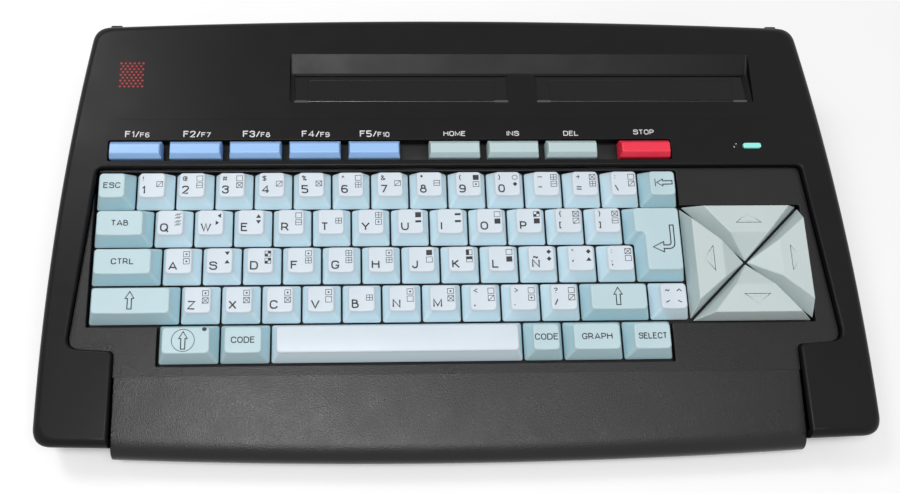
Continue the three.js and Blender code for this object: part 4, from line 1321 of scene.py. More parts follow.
@dataclass(frozen=True)
class PadSizes:
    """Sizes of the cursor pad."""

    width: float = 60.0  # across both side keys
    depth: float = 58.0  # across the front and rear keys
    middle: float = 141.575  # its place across
    centre: float = -22.275  # its place along
    draw: float = 2.4  # how far the outer walls lean in
    plateau: float = 13.5  # depth of each raised face
    outer_share: float = 0.7  # half width of a raised face at its outer edge, as a share of the pad's
    inner_share: float = 0.32  # and at its inner edge
    parting: float = 0.4  # half the parting between two keys
    dip: float = 3.6  # the pad's middle below the deck
    stem_share: float = 0.6  # a stem's place, as a share of half the pad
    stem_up: Span = (-12.0, -4.0)  # a stem's lower and upper end
    edge: float = 0.5
    # half width, front and rear of an arrow, from the middle of a raised face
    arrow: Triple = (6.2, -2.0, 2.6)
    arrow_foot: Pair = (3.4, -0.9)  # half width and place of the second line along an arrow's foot
    arrow_up: Span = (-0.1, 0.16)  # lower and upper side of an arrow, from the raised face


@dataclass(frozen=True)
class CursorPad:
    """Four cursor keys that share a square."""

    sizes: PadSizes = PadSizes()

    TURNS = {"up": 0.0, "left": math.pi / 2, "down": math.pi, "right": -math.pi / 2}

    def build(self) -> None:
        """Make the four keys and their arrows."""
        for name, turn in self.TURNS.items():
            sideways = name in ("left", "right")
            halves = (self.sizes.width / 2, self.sizes.depth / 2)
            half_width, half_depth = halves[::-1] if sideways else halves
            matrix = (
                DECK.matrix()
                @ Matrix.Translation((self.sizes.middle, self.sizes.centre, 0.0))
                @ Matrix.Rotation(turn, 4, "Z")
            )
            body, slot = f"key_cursor_{name}", "pad_grey_green"
            made = self.wedge(half_width, half_depth)
            stem = about(self.sizes.stem_share * half_depth, CAPS.stem)
            made.box(about(0.0, CAPS.stem), stem, self.sizes.stem_up)
            add_shape(f"pad_{name}", made, matrix, Finishes.PAD, body=body, slot=slot, nodes=[body])
            arrow = self.arrow(half_depth - self.sizes.draw - self.sizes.plateau / 2)
            add_shape(f"pad_arrow_{name}", arrow, matrix, Finishes.PAD, body=body, slot=slot)

    def wedge(self, half_width: float, half_depth: float) -> Sculpt:
        """Return a key whose outer edge lies to the rear.

        Args:
            half_width: Half the pad along the outer edge.
            half_depth: Half the pad across it.

        Returns:
            The key.
        """
        sizes = self.sizes
        edge = half_depth - sizes.draw
        near = sizes.parting * 2
        spots = [
            *self.pair(half_width - near, half_depth, -CAPS.skirt),
            Vector((0.0, near, -CAPS.skirt)),
            Vector((0.0, near, -sizes.dip)),
            *self.pair(sizes.outer_share * half_width, edge, CAPS.rise),
            *self.pair(sizes.inner_share * half_width, edge - sizes.plateau, CAPS.rise),
        ]
        work = bmesh.new()
        for spot in spots:
            work.verts.new(spot)
        bmesh.ops.convex_hull(work, input=work.verts)
        bmesh.ops.dissolve_limit(work, angle_limit=math.radians(1.0), verts=work.verts, edges=work.edges)
        bmesh.ops.recalc_face_normals(work, faces=work.faces)
        work.verts.index_update()
        made = Sculpt()
        made.ring(vertex.co for vertex in work.verts)
        for face in work.faces:
            made.face([vertex.index for vertex in face.verts])
        work.free()
        return made.bevelled(sizes.edge, 3)

    @staticmethod
    def pair(half: float, along: float, height: float) -> list[Vector]:
        """Return two points, one on each side."""
        return [Vector((half, along, height)), Vector((-half, along, height))]

    def arrow(self, place: float) -> Sculpt:
        """Return a raised outline of a flat arrow on a key's face, with a second line along its foot.

        Args:
            place: Its middle along the key.

        Returns:
            The raised lines.
        """
        sheet = Print()
        (half, low, high), (foot, rise) = self.sizes.arrow, self.sizes.arrow_foot
        sheet.line([(-half, place + low), (half, place + low), (0.0, place + high)], 0.5, closed=True)
        sheet.line([(-foot, place + rise), (foot, place + rise)], 0.4)
        made = Sculpt()
        count = len(sheet.points)
        for height in self.sizes.arrow_up:
            made.ring(Vector((x, y, CAPS.rise + height)) for x, y in sheet.points)
        for corners in sheet.faces:
            lifted = [number + count for number in corners]
            made.face(lifted)
            made.face(corners[::-1])
            for first, second in zip(range(4), (1, 2, 3, 0)):
                made.face((corners[first], corners[second], lifted[second], lifted[first]))
        return made


@dataclass(frozen=True)
class BarSizes:
    """Sizes of the function keys."""

    width: float = 25.4
    depth: float = 9.0
    rise: float = 3.1
    face: float = 0.3  # height at which the front bevel starts
    bevel: float = 1.9
    back: float = 2.4
    draw: float = 0.7  # how far the ends lean in
    first: float = -168.975
    pitch: float = 29.25
    home_gap: float = 10.6
    stop_gap: float = 7.6
    middle: float = 36.4  # place of the row along the deck
    round: float = 0.5


@dataclass(frozen=True)
class FunctionKeys:
    """The row of function keys with the words above it."""

    sizes: BarSizes = BarSizes()
    word_place: float = 45.0
    word_aside: float = 0.3  # from a key's middle to its word's
    large: float = 3.5  # heights of the letters before and after the slash
    small: float = 2.7
    small_drop: float = 0.4  # middle of the small letters below that of the large ones
    gap: float = 0.35  # after the slash
    weight: float = 1.3
    stop_lift: float = 0.6  # the last word stands a little higher
    names: tuple[str, ...] = ("f1", "f2", "f3", "f4", "f5", "home", "insert", "delete", "stop")
    words: tuple[str, ...] = ("F1/F6", "F2/F7", "F3/F8", "F4/F9", "F5/F10", "HOME", "INS", "DEL", "STOP")

    def build(self) -> None:
        """Make the keys and print the words."""
        sizes = self.sizes
        sheet = Print()
        for number, name in enumerate(self.names):
            start = sizes.first + number * sizes.pitch
            start += (sizes.home_gap if number >= 5 else 0.0) + (sizes.stop_gap if number >= 8 else 0.0)
            middle = start + sizes.width / 2
            finish, slot = self.finish(number)
            matrix = DECK.matrix() @ Matrix.Translation((middle, sizes.middle, 0.0))
            body = f"key_{name}"
            add_shape(f"bar_{name}", self.bar(), matrix, finish, body=body, slot=slot, nodes=[body])
            self.word(sheet, number, middle + self.word_aside)
        add_print("deck_words", sheet, on_deck, DECK.matrix(), [Finishes.INK_AND_GLINT_WHITE])

    @staticmethod
    def finish(number: int) -> tuple[Moulded, str]:
        """Return a key's finish and the record's slot for it."""
        if number < 5:
            return Finishes.BLUE, "key_blue"
        return (Finishes.PALE, "key_pale_green") if number < 8 else (Finishes.RED, "key_red")

    def bar(self) -> Sculpt:
        """Return a key with its bevelled front and its stem."""
        sizes = self.sizes
        foot = rectangle(about(0.0, sizes.width), about(0.0, sizes.depth))
        half = sizes.depth / 2
        top = rectangle(about(0.0, sizes.width - 2 * sizes.draw), (sizes.bevel - half, half - sizes.back))
        made = Sculpt().loft([raised(foot, -CAPS.skirt), raised(foot, sizes.face), raised(top, sizes.rise)])
        made.bevelled(sizes.round, 3)
        return made.box(about(0.0, CAPS.stem), about(0.0, CAPS.stem), (-CAPS.stem_depth, -CAPS.skirt + 0.2))

    def word(self, sheet: Print, number: int, middle: float) -> None:
        """Print the word above a key.

        Args:
            sheet: The print.
            number: The key's place in the row.
            middle: The word's middle.
        """
        place, weight = self.word_place, self.weight
        first, slash, second = self.words[number].partition("/")
        if not second:
            lift = self.stop_lift if first == "STOP" else 0.0
            sheet.word(first, (middle, place + lift), self.small, stretch=1.04, weight=weight)
            return
        steps = Lettering.HIGH - Lettering.LOW + weight
        lengths = [(Lettering.length(word) + weight) / steps for word in (first + slash, second)]
        start = lengths[0] * self.large + self.gap
        left = middle - (start + lengths[1] * self.small) / 2
        sheet.word(first + slash, (left, place), self.large, Align.LEFT, weight=weight)
        sheet.word(second, (left + start, place - self.small_drop), self.small, Align.LEFT, weight=weight)


@dataclass(frozen=True)
class CaseSizes:
    """Sizes of the case in the deck's frame."""

    front: float = -109.7
    rear: float = 109.7
    half_front: float = 195.975
    half_rear: float = 180.975
    bulge: float = 1.0  # control points of the sides beyond the front corners
    side_round: float = 8.5
    rear_round: float = 7.5
    front_bow: float = 3.0
    rear_bow: float = 4.0
    depth: float = 11.5
    edge: float = 4.2
    draft: float = 0.6
    wall: float = 3.0
    skin: float = 2.5
    palm_half: float = 161.8
    palm_lip: float = -116.3  # front of the palm rest's lip at its middle
    well_rear: float = 27.7
    shoulder: float = -61.9
    well_front_half: float = 183.375
    well_rear_half: float = 174.575
    gap: float = 0.3
    bezel: float = 3.0  # the bezel's surface below the deck
    plate: float = 2.5


CASE = CaseSizes()


def case_outline(margin: float, side_steps: int = 28, corner_steps: int = 10) -> list[Vector]:
    """Return the case's plan inside a margin."""
    front, rear = CASE.front + margin, CASE.rear - margin
    wide, narrow = CASE.half_front - margin, CASE.half_rear - margin
    bulge = wide + CASE.bulge
    return outline([
        Corner(-wide, front + CASE.front_bow, CASE.side_round, (0.0, front - CASE.front_bow)),
        Corner(wide, front + CASE.front_bow, CASE.side_round, (bulge, 0.0)),
        Corner(narrow, rear - CASE.rear_bow, CASE.rear_round, (0.0, rear + CASE.rear_bow)),
        Corner(-narrow, rear - CASE.rear_bow, CASE.rear_round, (-bulge, 0.0)),
    ], side_steps, corner_steps)


def well_outline(margin: float) -> list[Vector]:
    """Return the plan of the well inside a margin, open beyond the front of the case."""
    right = [
        Corner(CASE.palm_half, CASE.palm_lip - OVERRUN),
        Corner(CASE.palm_half, CASE.shoulder - 1.5, 2.4),
        Corner(CASE.well_front_half, CASE.shoulder, 6.0),
        Corner(CASE.well_rear_half, CASE.well_rear, 3.0),
    ]
    left = [Corner(-corner.x, corner.y, corner.round) for corner in reversed(right)]
    return inset(outline([*right, *left], 1, 8), margin)


@dataclass(frozen=True)
class BaySizes:
    """Sizes of the scoop and the cartridge slots, along the world's axes unless said."""

    middles: Pair = (-25.0, 98.2)
    width: float = 108.4
    side: float = 56.4
    front_deck: float = 62.1
    rear_deck: float = 89.1
    lip: float = 1.7
    floor_depth: float = 17.7
    floor_plate: float = 2.0
    front_margin: float = 0.5  # from the scoop's front to the slot
    depth: float = 16.6
    wall: float = 3.0
    shaft: float = 15.0

    @property
    def front(self) -> Vector:
        """Front edge of the scoop, in world millimetres."""
        return DECK.place(0.0, self.front_deck, 0.0)

    @property
    def brow(self) -> Vector:
        """Rear edge of the scoop, in world millimetres."""
        return DECK.place(0.0, self.rear_deck, 0.0)

    @property
    def floor(self) -> float:
        """Height of the scoop's floor."""
        return self.front.z - self.lip

    @property
    def slot(self) -> Span:
        """Front and rear of a slot."""
        start = self.front.y + self.front_margin
        return start, start + self.depth

    @property
    def pocket_rear(self) -> float:
        """Rear of the space for the hinge below the floor."""
        return self.slot[1] + 5.8

    @property
    def span(self) -> Span:
        """Left and right ends of the scoop."""
        return self.middles[0] - self.side, self.middles[1] + self.side


BAY = BaySizes()


@dataclass(frozen=True)
class TopCover:
    """The upper half of the case, with the scoop and the shafts of the cartridge slots."""

    edge_steps: int = 10
    parting_lip: float = 0.4
    well_lip: float = 1.3
    bar_lip: float = 0.45
    shaft_lip: float = 0.5
    lamp_lip: float = 0.25
    bar_margin: float = 0.8  # from the function keys to the edge of their slot
    scoop_round: float = 1.2
    tab_inset: float = 10.0  # from a rear corner to the middle of its tab
    tab_width: float = 6.0
    tab_reach: float = 2.4
    tab_heights: Span = (-8.2, -4.2)
    crease_ends: Span = (-166.0, 162.0)
    crease_place: float = 52.8
    crease_width: float = 0.5
    crease_depth: float = 0.07

    def build(self) -> None:
        """Make the cover."""
        deck = DECK.matrix()
        body = Body("top_cover_skin", self.slab(), deck)
        body.use(Cut.AWAY, self.hollow(), Matrix.Identity(4))
        for middle in BAY.middles:
            body.use(Cut.JOIN, self.shaft(middle), WORLD)
        for side in (-1.0, 1.0):
            body.use(Cut.JOIN, self.tab(side), deck)
        body.use(Cut.AWAY, flared(well_outline, self.well_lip, 0.0, -CASE.depth - OVERRUN), deck)
        body.use(Cut.AWAY, self.bar_slot(), deck)
        body.use(Cut.AWAY, self.scoop(), WORLD)
        for middle in BAY.middles:
            for tool in self.shaft_space(middle):
                body.use(Cut.AWAY, tool, WORLD)
        body.use(Cut.AWAY, flared(PowerLamp().outline, self.lamp_lip, 0.0, -CASE.depth), deck)
        body.use(Cut.AWAY, self.crease(), deck)
        add_piece(
            "top_cover_skin", body.result(), [Finishes.DECK], slot="case_smooth_black", nodes=["top_cover"],
            crease=20.0,
        )

    def slab(self) -> Sculpt:
        """Return the solid cover with its rounded upper edge."""
        rings = [
            raised(case_outline(CASE.draft + self.parting_lip), -CASE.depth),
            raised(case_outline(CASE.draft), -CASE.depth + self.parting_lip),
        ]
        for step in range(self.edge_steps + 1):
            angle = math.pi / 2 * step / self.edge_steps
            inwards = CASE.edge * (1 - math.cos(angle))
            rings.append(raised(case_outline(inwards), -CASE.edge + CASE.edge * math.sin(angle)))
        return Sculpt().loft(rings)

    def hollow(self) -> Sculpt:
        """Return the space inside the cover, in metres, with a block left in it for the scoop."""
        plan = case_outline(CASE.wall + CASE.draft)
        cavity = Sculpt().loft([raised(plan, -CASE.depth - OVERRUN), raised(plan, -CASE.skin)])
        left, right = BAY.span
        bed = Sculpt().box(
            (left - CASE.wall, right + CASE.wall), (BAY.slot[0] - BAY.wall, BAY.brow.y + CASE.wall),
            (BAY.floor - BAY.floor_plate, BAY.floor + 40.0),
        )
        made = Body("cavity", cavity, DECK.matrix()).use(Cut.AWAY, bed, WORLD).result()
        hollow = Sculpt()
        hollow.ring(vertex.co for vertex in made.vertices)
        for face in made.polygons:
            hollow.face(tuple(face.vertices))
        return hollow

    def shaft(self, middle: float) -> Sculpt:
        """Return the block of a cartridge shaft."""
        return Sculpt().box(
            about(middle, BAY.width + 2 * BAY.wall), (BAY.slot[0] - BAY.wall, BAY.pocket_rear + BAY.wall),
            (BAY.floor - BAY.shaft, BAY.floor - 0.01),
        )

    def shaft_space(self, middle: float) -> list[Sculpt]:
        """Return the cutters of a cartridge shaft."""
        across = about(middle, BAY.width)
        plan = rectangle(across, BAY.slot)
        low = BAY.floor - BAY.shaft - OVERRUN
        return [
            flared(lambda margin: inset(plan, margin), self.shaft_lip, BAY.floor, low),
            Sculpt().box(across, (BAY.slot[0], BAY.pocket_rear), (low, BAY.floor - BAY.floor_plate)),
        ]

    def scoop(self) -> Sculpt:
        """Return the space above the scoop's floor, with rounded inner corners."""
        front, brow = BAY.front, BAY.brow
        foot = Vector((front.y + BAY.floor_depth, BAY.floor))
        above = Vector((brow.y, brow.z)) * 2 - foot
        profile = [(front.y, BAY.floor), tuple(foot), tuple(above), (front.y, above.y)]
        return extruded(profile, BAY.span).bevelled(self.scoop_round, 3)

    def bar_slot(self) -> Sculpt:
        """Return the cutter of the function keys' slot."""
        sizes, margin = BarSizes(), self.bar_margin
        last = sizes.first + 8 * sizes.pitch + sizes.home_gap + sizes.stop_gap + sizes.width
        along = about(sizes.middle, sizes.depth + 2 * margin)
        plan = rounded(rectangle((sizes.first - margin, last + margin), along), margin, 3)
        return flared(lambda inwards: inset(plan, inwards), self.bar_lip, 0.0, -CASE.depth)

    def tab(self, side: float) -> Sculpt:
        """Return a small catch at a rear corner."""
        across = about(side * (CASE.half_rear - self.tab_inset), self.tab_width)
        rear = CASE.rear - CASE.rear_bow
        made = Sculpt().box(across, (rear - CASE.wall, rear + self.tab_reach), self.tab_heights)
        return made.bevelled(0.8, 3)

    def crease(self) -> Sculpt:
        """Return the fine groove behind the words above the function keys."""
        along = about(self.crease_place, self.crease_width)
        return Sculpt().box(self.crease_ends, along, (-self.crease_depth, OVERRUN))


@dataclass(frozen=True)
class Bezel:
    """The grained plate round the keys, with the palm rest and its rounded lip."""

    stations: int = 48
    # how far in and down the palm rest's ends are rounded
    ends: tuple[Pair, ...] = ((0.0, 0.6), (0.1, 0.35), (0.3, 0.12))
    rest_rear: float = -69.4
    lip_steps: int = 14
    lip_reach: float = 12.0  # from the lip's front to where the palm rest starts to round down
    lip_drop: float = 4.4  # that place below the deck
    lip_bow: float = 4.0  # the lip's middle before its ends
    under_front: float = -103.3  # where the lip's underside ends
    under_drop: float = 7.2  # the palm rest's underside there, below the deck
    window_lip: float = 0.5
    window_round: float = 0.8
    window_block: Span = (-175.475, 111.675)  # the window's ends beside the key block
    window_row: Span = (-142.14, 102.15)  # and beside the front row
    window_along: Span = (-70.6, 26.05)
    window_steps: Pair = (-51.55, -51.98)  # rear of the front row's part, at the left and at the right
    window_pad: Pair = (172.275, 7.425)  # corner beside the cursor pad

    def build(self) -> None:
        """Make the bezel."""
        deck = DECK.matrix()
        plan = well_outline(CASE.gap)
        plate = Sculpt().loft([raised(plan, -CASE.bezel - CASE.plate), raised(plan, -CASE.bezel)])
        body = Body("bezel_skin", plate, deck)
        body.use(Cut.AWAY, Sculpt().box((-200.0, 200.0), (-125.0, self.rest_rear - 6.0), (-12.0, 2.0)), deck)
        body.use(Cut.JOIN, self.palm_rest(), deck)
        window = self.window()
        cutter = flared(lambda margin: inset(window, margin), self.window_lip, -CASE.bezel, -14.0)
        body.use(Cut.AWAY, cutter, deck)
        add_piece(
            "bezel_skin", body.result(), [Finishes.GRAINED],
            slot="case_grained_black", nodes=["keyboard_bezel"],
        )

    def window(self) -> list[Vector]:
        """Return the plan of the opening for the keys and the cursor pad."""
        (left, right), (front, rear) = self.window_block, self.window_along
        (row_left, row_right), (left_step, right_step) = self.window_row, self.window_steps
        pad_right, pad_rear = self.window_pad
        pairs = (
            (row_left, front), (row_right, front), (row_right, right_step), (pad_right, right_step),
            (pad_right, pad_rear), (right, pad_rear), (right, rear), (left, rear), (left, left_step),
            (row_left, left_step),
        )
        return rounded([Vector(pair) for pair in pairs], self.window_round, 3)

    def palm_rest(self) -> Sculpt:
        """Return the palm rest, lofted from side to side."""
        half = CASE.palm_half - CASE.gap
        inner = half - 2 * self.ends[-1][0]
        middle = [(inner * (2 * step / self.stations - 1), 0.0) for step in range(self.stations + 1)]
        left = [(inwards - half, drop) for inwards, drop in self.ends]
        right = [(-place, drop) for place, drop in reversed(left)]
        places = (*left, *middle, *right)
        return Sculpt().loft([self.profile(place, place / half, drop) for place, drop in places])

    def profile(self, u: float, share: float, drop: float) -> list[Vector]:
        """Return the palm rest's section at a place.

        Args:
            u: The place across.
            share: The place as a share of half the width.
            drop: How far the upper surface is lowered.

        Returns:
            The section's points.
        """
        front = CASE.palm_lip + self.lip_bow * share * share
        brow = Vector((front + self.lip_reach, -self.lip_drop))
        toe = Vector((front, -CASE.depth))
        rim = bent(brow, Vector((toe.x, brow.y)), toe, self.lip_steps)
        lowered = [
            Vector((u, point.x, point.y - drop)) for point in (Vector((self.rest_rear, -CASE.bezel)), brow, *rim)
        ]
        lowered[-1].z = -CASE.depth
        below = (
            (self.under_front, -CASE.depth), (self.under_front, -self.under_drop),
            (self.rest_rear, -CASE.bezel - CASE.plate),
        )
        return [*lowered, *[Vector((u, v, w)) for v, w in below]]


@dataclass(frozen=True)
class BottomCase:
    """The lower half of the case, its rear panel, feet and screws."""

    gap: float = 0.3  # at the parting line
    floor: float = 4.0
    panel_face: float = 104.905  # place of the sunk panel
    panel_rear: float = 109.5  # place of the frame round it
    panel_wall: float = 2.5
    panel_across: Span = (-146.0, 146.0)
    panel_up: Span = (10.6, 31.0)
    socket_gap: float = 0.3
    switch_at: Pair = (-96.0, 20.8)
    switch_size: Pair = (13.6, 18.2)
    vent_spread: float = 80.0  # from the middle to each field of air slots
    vent_count: int = 9
    vent_pitch: float = 8.0
    vent_width: float = 3.0
    vent_length: float = 26.0
    vent_place: float = 20.0
    foot_profile: tuple[Pair, ...] = (  # radii and heights
        (3.0, 0.35), (5.4, 0.3), (5.8, 0.0), (6.4, 0.0), (6.9, 0.5), (7.0, 1.2), (7.0, 5.0)
    )
    seat_profile: tuple[Pair, ...] = ((7.3, 1.0), (7.3, 5.0))
    screw_radius: float = 2.9
    screw_inset: float = 18.0
    screw_rows: Pair = (-87.9, 87.7)
    sockets: tuple[str, ...] = (
        "power_inlet", "cassette_socket", "video_socket", "printer_port", "joystick_ports",
    )
    feet: tuple[str, ...] = ("foot_front_left", "foot_front_right", "foot_rear_left", "foot_rear_right")

    def build(self) -> None:
        """Make the lower case and dress what it carries."""
        body = Body("bottom_case_skin", self.shell(), WORLD)
        body.use(Cut.AWAY, self.cavity(), WORLD)
        body.use(Cut.JOIN, self.panel(), WORLD)
        top = Sculpt().box((-250.0, 250.0), (-200.0, 200.0), (-CASE.depth - self.gap, 90.0))
        body.use(Cut.AWAY, top, DECK.matrix())
        recess = Sculpt().box(self.panel_across, (self.panel_face, 130.0), self.panel_up).bevelled(0.8, 3)
        body.use(Cut.AWAY, recess, WORLD)
        seats = [self.round_at(foot, self.seat_profile) for foot in self.feet]
        for tool in (*self.windows(), *self.vents(), *seats):
            body.use(Cut.AWAY, tool, WORLD)
        add_piece(
            "bottom_case_skin", body.result(), [Finishes.DECK], slot="inside_black", nodes=["bottom_case"]
        )
        for foot in self.feet:
            rubber = self.round_at(foot, self.foot_profile)
            add_shape(f"{foot}_rubber", rubber, WORLD, Finishes.RUBBER, slot="rubber_dark", nodes=[foot])
        self.screws()

    def at(self, margin: float, height: float | None) -> list[Vector]:
        """Return the case's plan inside a margin at a height, or on the parting line."""
        places = [DECK.place(point.x, point.y, -CASE.depth - self.gap) for point in case_outline(margin)]
        return [Vector((place.x, place.y, place.z if height is None else height)) for place in places]

    def shell(self) -> Sculpt:
        """Return the solid lower case."""
        turns = ((7.6, 0.0), (6.7, 0.2), (4.9, 1.9), (4.4, 3.0))
        rings = [self.at(margin, self.floor + rise) for margin, rise in turns]
        return Sculpt().loft([*rings, self.at(1.5, None)])

    def cavity(self) -> Sculpt:
        """Return the space inside the lower case."""
        upper = [point + Vector((0.0, 0.0, OVERRUN)) for point in self.at(4.0, None)]
        return Sculpt().loft([self.at(9.5, self.floor + 2.5), upper])

    def panel(self) -> Sculpt:
        """Return the rear panel."""
        (left, right), wall = self.panel_across, self.panel_wall
        along = (self.panel_face - wall, self.panel_rear)
        return Sculpt().box((left - wall, right + wall), along, (self.floor + 0.5, self.panel_up[1] + wall))

    def windows(self) -> list[Sculpt]:
        """Return the cutters of the openings in the rear panel."""
        deep = (self.panel_face - 9.0, self.panel_face + 3.0)
        gap = self.socket_gap
        made = []
        for name in self.sockets:
            low, high = (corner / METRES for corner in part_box(name))
            made.append(Sculpt().box((low.x - gap, high.x + gap), deep, (low.z - gap, high.z + gap)))
        (x, z), (width, height) = self.switch_at, self.switch_size
        return [*made, Sculpt().box(about(x, width), deep, about(z, height))]

    def vents(self) -> list[Sculpt]:
        """Return the cutters of the air slots."""
        made = []
        for side in (-1.0, 1.0):
            for number in range(self.vent_count):
                x = side * self.vent_spread + (number - (self.vent_count - 1) / 2) * self.vent_pitch
                slot = rectangle(about(x, self.vent_width), about(self.vent_place, self.vent_length))
                plan = rounded(slot, self.vent_width / 2 - 0.01, 5)
                made.append(Sculpt().loft([raised(plan, 0.0), raised(plan, 9.0)]))
        return made

    @staticmethod
    def round_at(name: str, profile: Sequence[Pair]) -> Sculpt:
        """Return a round body at a foot's place."""
        low, high = (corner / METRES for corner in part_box(name))
        middle = (low + high) / 2
        return Sculpt().turned(Vector((middle.x, middle.y, 0.0)), Axis.Z, profile, 40)

    def screws(self) -> None:
        """Make a cross-headed screw in a cup under each corner post."""
        halves = (CASE.half_front - self.screw_inset, CASE.half_rear - self.screw_inset)
        rows = list(zip(halves, self.screw_rows))
        places = [DECK.place(side * half, v, 0.0) for side in (-1.0, 1.0) for half, v in rows]
        for number, place in enumerate(places):
            lay = Matrix.Translation((place.x, place.y, self.floor))
            matrix = WORLD @ lay @ Matrix.Rotation(math.pi, 4, "X")
            head = screw_head(self.screw_radius)
            add_shape(f"case_screw_{number + 1}", head, matrix, Finishes.STEEL, slot="plate_steel")


def screw_head(radius: float, sides: int = 32) -> Sculpt:
    """Return a domed screw head with a cross recess, looking up.

    Args:
        radius: Radius of the head.
        sides: Number of its sides.

    Returns:
        The head.
    """
    dome = ((1.0, -0.3), (1.0, 0.25), (0.93, 0.5), (0.75, 0.72))
    rings = []
    for share, height in dome:
        rings.append(raised([Vector(pair) for pair in circle(radius * share, sides)], height))
    cross = []
    for x, y in circle(1.0, sides):
        arm = radius * (0.58 if max(abs(x), abs(y)) > 0.97 else 0.2)
        cross.append(Vector((x * arm, y * arm)))
    return Sculpt().loft([*rings, raised(cross, 0.74), raised([point * 0.8 for point in cross], 0.1)])


@dataclass(frozen=True)
class CartridgeBay:
    """The two sprung doors of the cartridge slots and the connectors under them."""

    sides: tuple[str, str] = ("left", "right")
    pin: float = 2.2  # length of a hinge pin beside the door
    play: float = 0.3  # behind the door
    recess: float = 0.25  # plate below the node's highest point
    plate: float = 1.55  # thickness of the door
    edge: float = 1.25  # depth of the bevel along the front
    frame: float = 7.0  # width of the raised field at each end
    barrel_radius: float = 1.6
    pin_radius: float = 1.2
    axis_drop: float = 3.6  # hinge axis below the node's highest point
    axis_back: float = 4.2  # and behind the door
    contacts: int = 25  # in each row of a connector
    contact_ends: float = 5.5  # from a connector's end to its first contact
    contact_width: float = 1.1
    contact_spread: float = 1.104  # of the two rows, from the middle

    def build(self) -> None:
        """Make the doors and the connectors."""
        for side in self.sides:
            self.door(side)
            self.connector(side)

    def door(self, side: str) -> None:
        """Make the door of the left or the right slot."""
        node = f"cartridge_door_{side}"
        low, high = (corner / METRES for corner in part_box(node))
        left, right = across = (low.x + self.pin, high.x - self.pin)
        rear = BAY.slot[1] - self.play
        top, edge = high.z - self.recess, self.edge
        base, nose, lip = top - self.plate, (low.y, top - edge / 2), low.y + edge
        plate = extruded([(low.y, base), (rear, base), (rear, top), (lip, top), nose], across)
        inner = (left + self.frame, right - self.frame)
        flap = Sculpt().box(inner, (lip + 0.5, rear - 3.0), (top - 1.0, top + 0.2)).bevelled(0.2, 3)
        rim = Sculpt()
        for limits in ((left + 0.4, inner[0] - 0.5), (inner[1] + 0.5, right - 0.4)):
            rim.box(limits, (lip + 0.5, rear - 0.4), (top - 1.2, top + 0.15))
        rim.box(inner, (rear - 2.4, rear - 0.3), (top - 1.0, top + 0.15)).bevelled(0.3, 3)
        strip = extruded([(low.y, base), (lip + 0.2, top - 0.4), (lip + 0.1, top + 0.03), nose], across)
        for limits in ((left, inner[0]), (inner[1], right)):
            strip.box(limits, (low.y, lip + 0.6), (top - 0.6, top + 0.1))
        dressings = (
            ("plate", plate, Finishes.GLOSS, [node]), ("flap", flap, Finishes.GLOSS, []),
            ("rim", rim, Finishes.GLOSS, []), ("strip", strip, Finishes.EDGE, []),
        )
        for name, made, finish, nodes in dressings:
            add_shape(
                f"door_{name}_{side}", made, WORLD, finish, body=node, slot="case_smooth_black", nodes=nodes
            )
        self.hinge(side, rear)

    def hinge(self, side: str, rear: float) -> None:
        """Make a door's arm and hinge barrel.

        Args:
            side: Which slot the door closes.
            rear: The door's rear edge.
        """
        node = f"cartridge_door_{side}"
        low, high = (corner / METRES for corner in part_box(node))
        across = (low.x + self.pin, high.x - self.pin)
        axis = Vector((0.0, rear + self.axis_back, high.z - self.axis_drop))
        made = Sculpt().box(across, (rear - 2.5, rear), (axis.z, high.z - 0.9))
        made.box(across, (rear - 2.5, axis.y), (axis.z, axis.z + 1.3))
        for radius, ends in ((self.barrel_radius, across), (self.pin_radius, (low.x, high.x))):
            made.turned(axis, Axis.X, [(radius, end) for end in ends], 20)
        add_shape(f"door_hinge_{side}", made, WORLD, Finishes.INSIDE, body=node, slot="inside_black")

    def connector(self, side: str) -> None:
        """Make a connector's contacts, on its own solid."""
        node = f"cartridge_connector_{side}"
        low, high = (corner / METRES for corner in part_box(node))
        middle, length = (low.y + high.y) / 2, high.x - low.x - 2 * self.contact_ends
        made = Sculpt()
        for number in range(self.contacts):
            place = low.x + self.contact_ends + length * number / (self.contacts - 1)
            across = about(place, self.contact_width)
            for reach in (-self.contact_spread, self.contact_spread):
                made.box(across, about(middle + reach, 0.28), (high.z - 5.6, high.z - 0.5))
        add_shape(f"connector_contacts_{side}", made, WORLD, Finishes.GOLD)


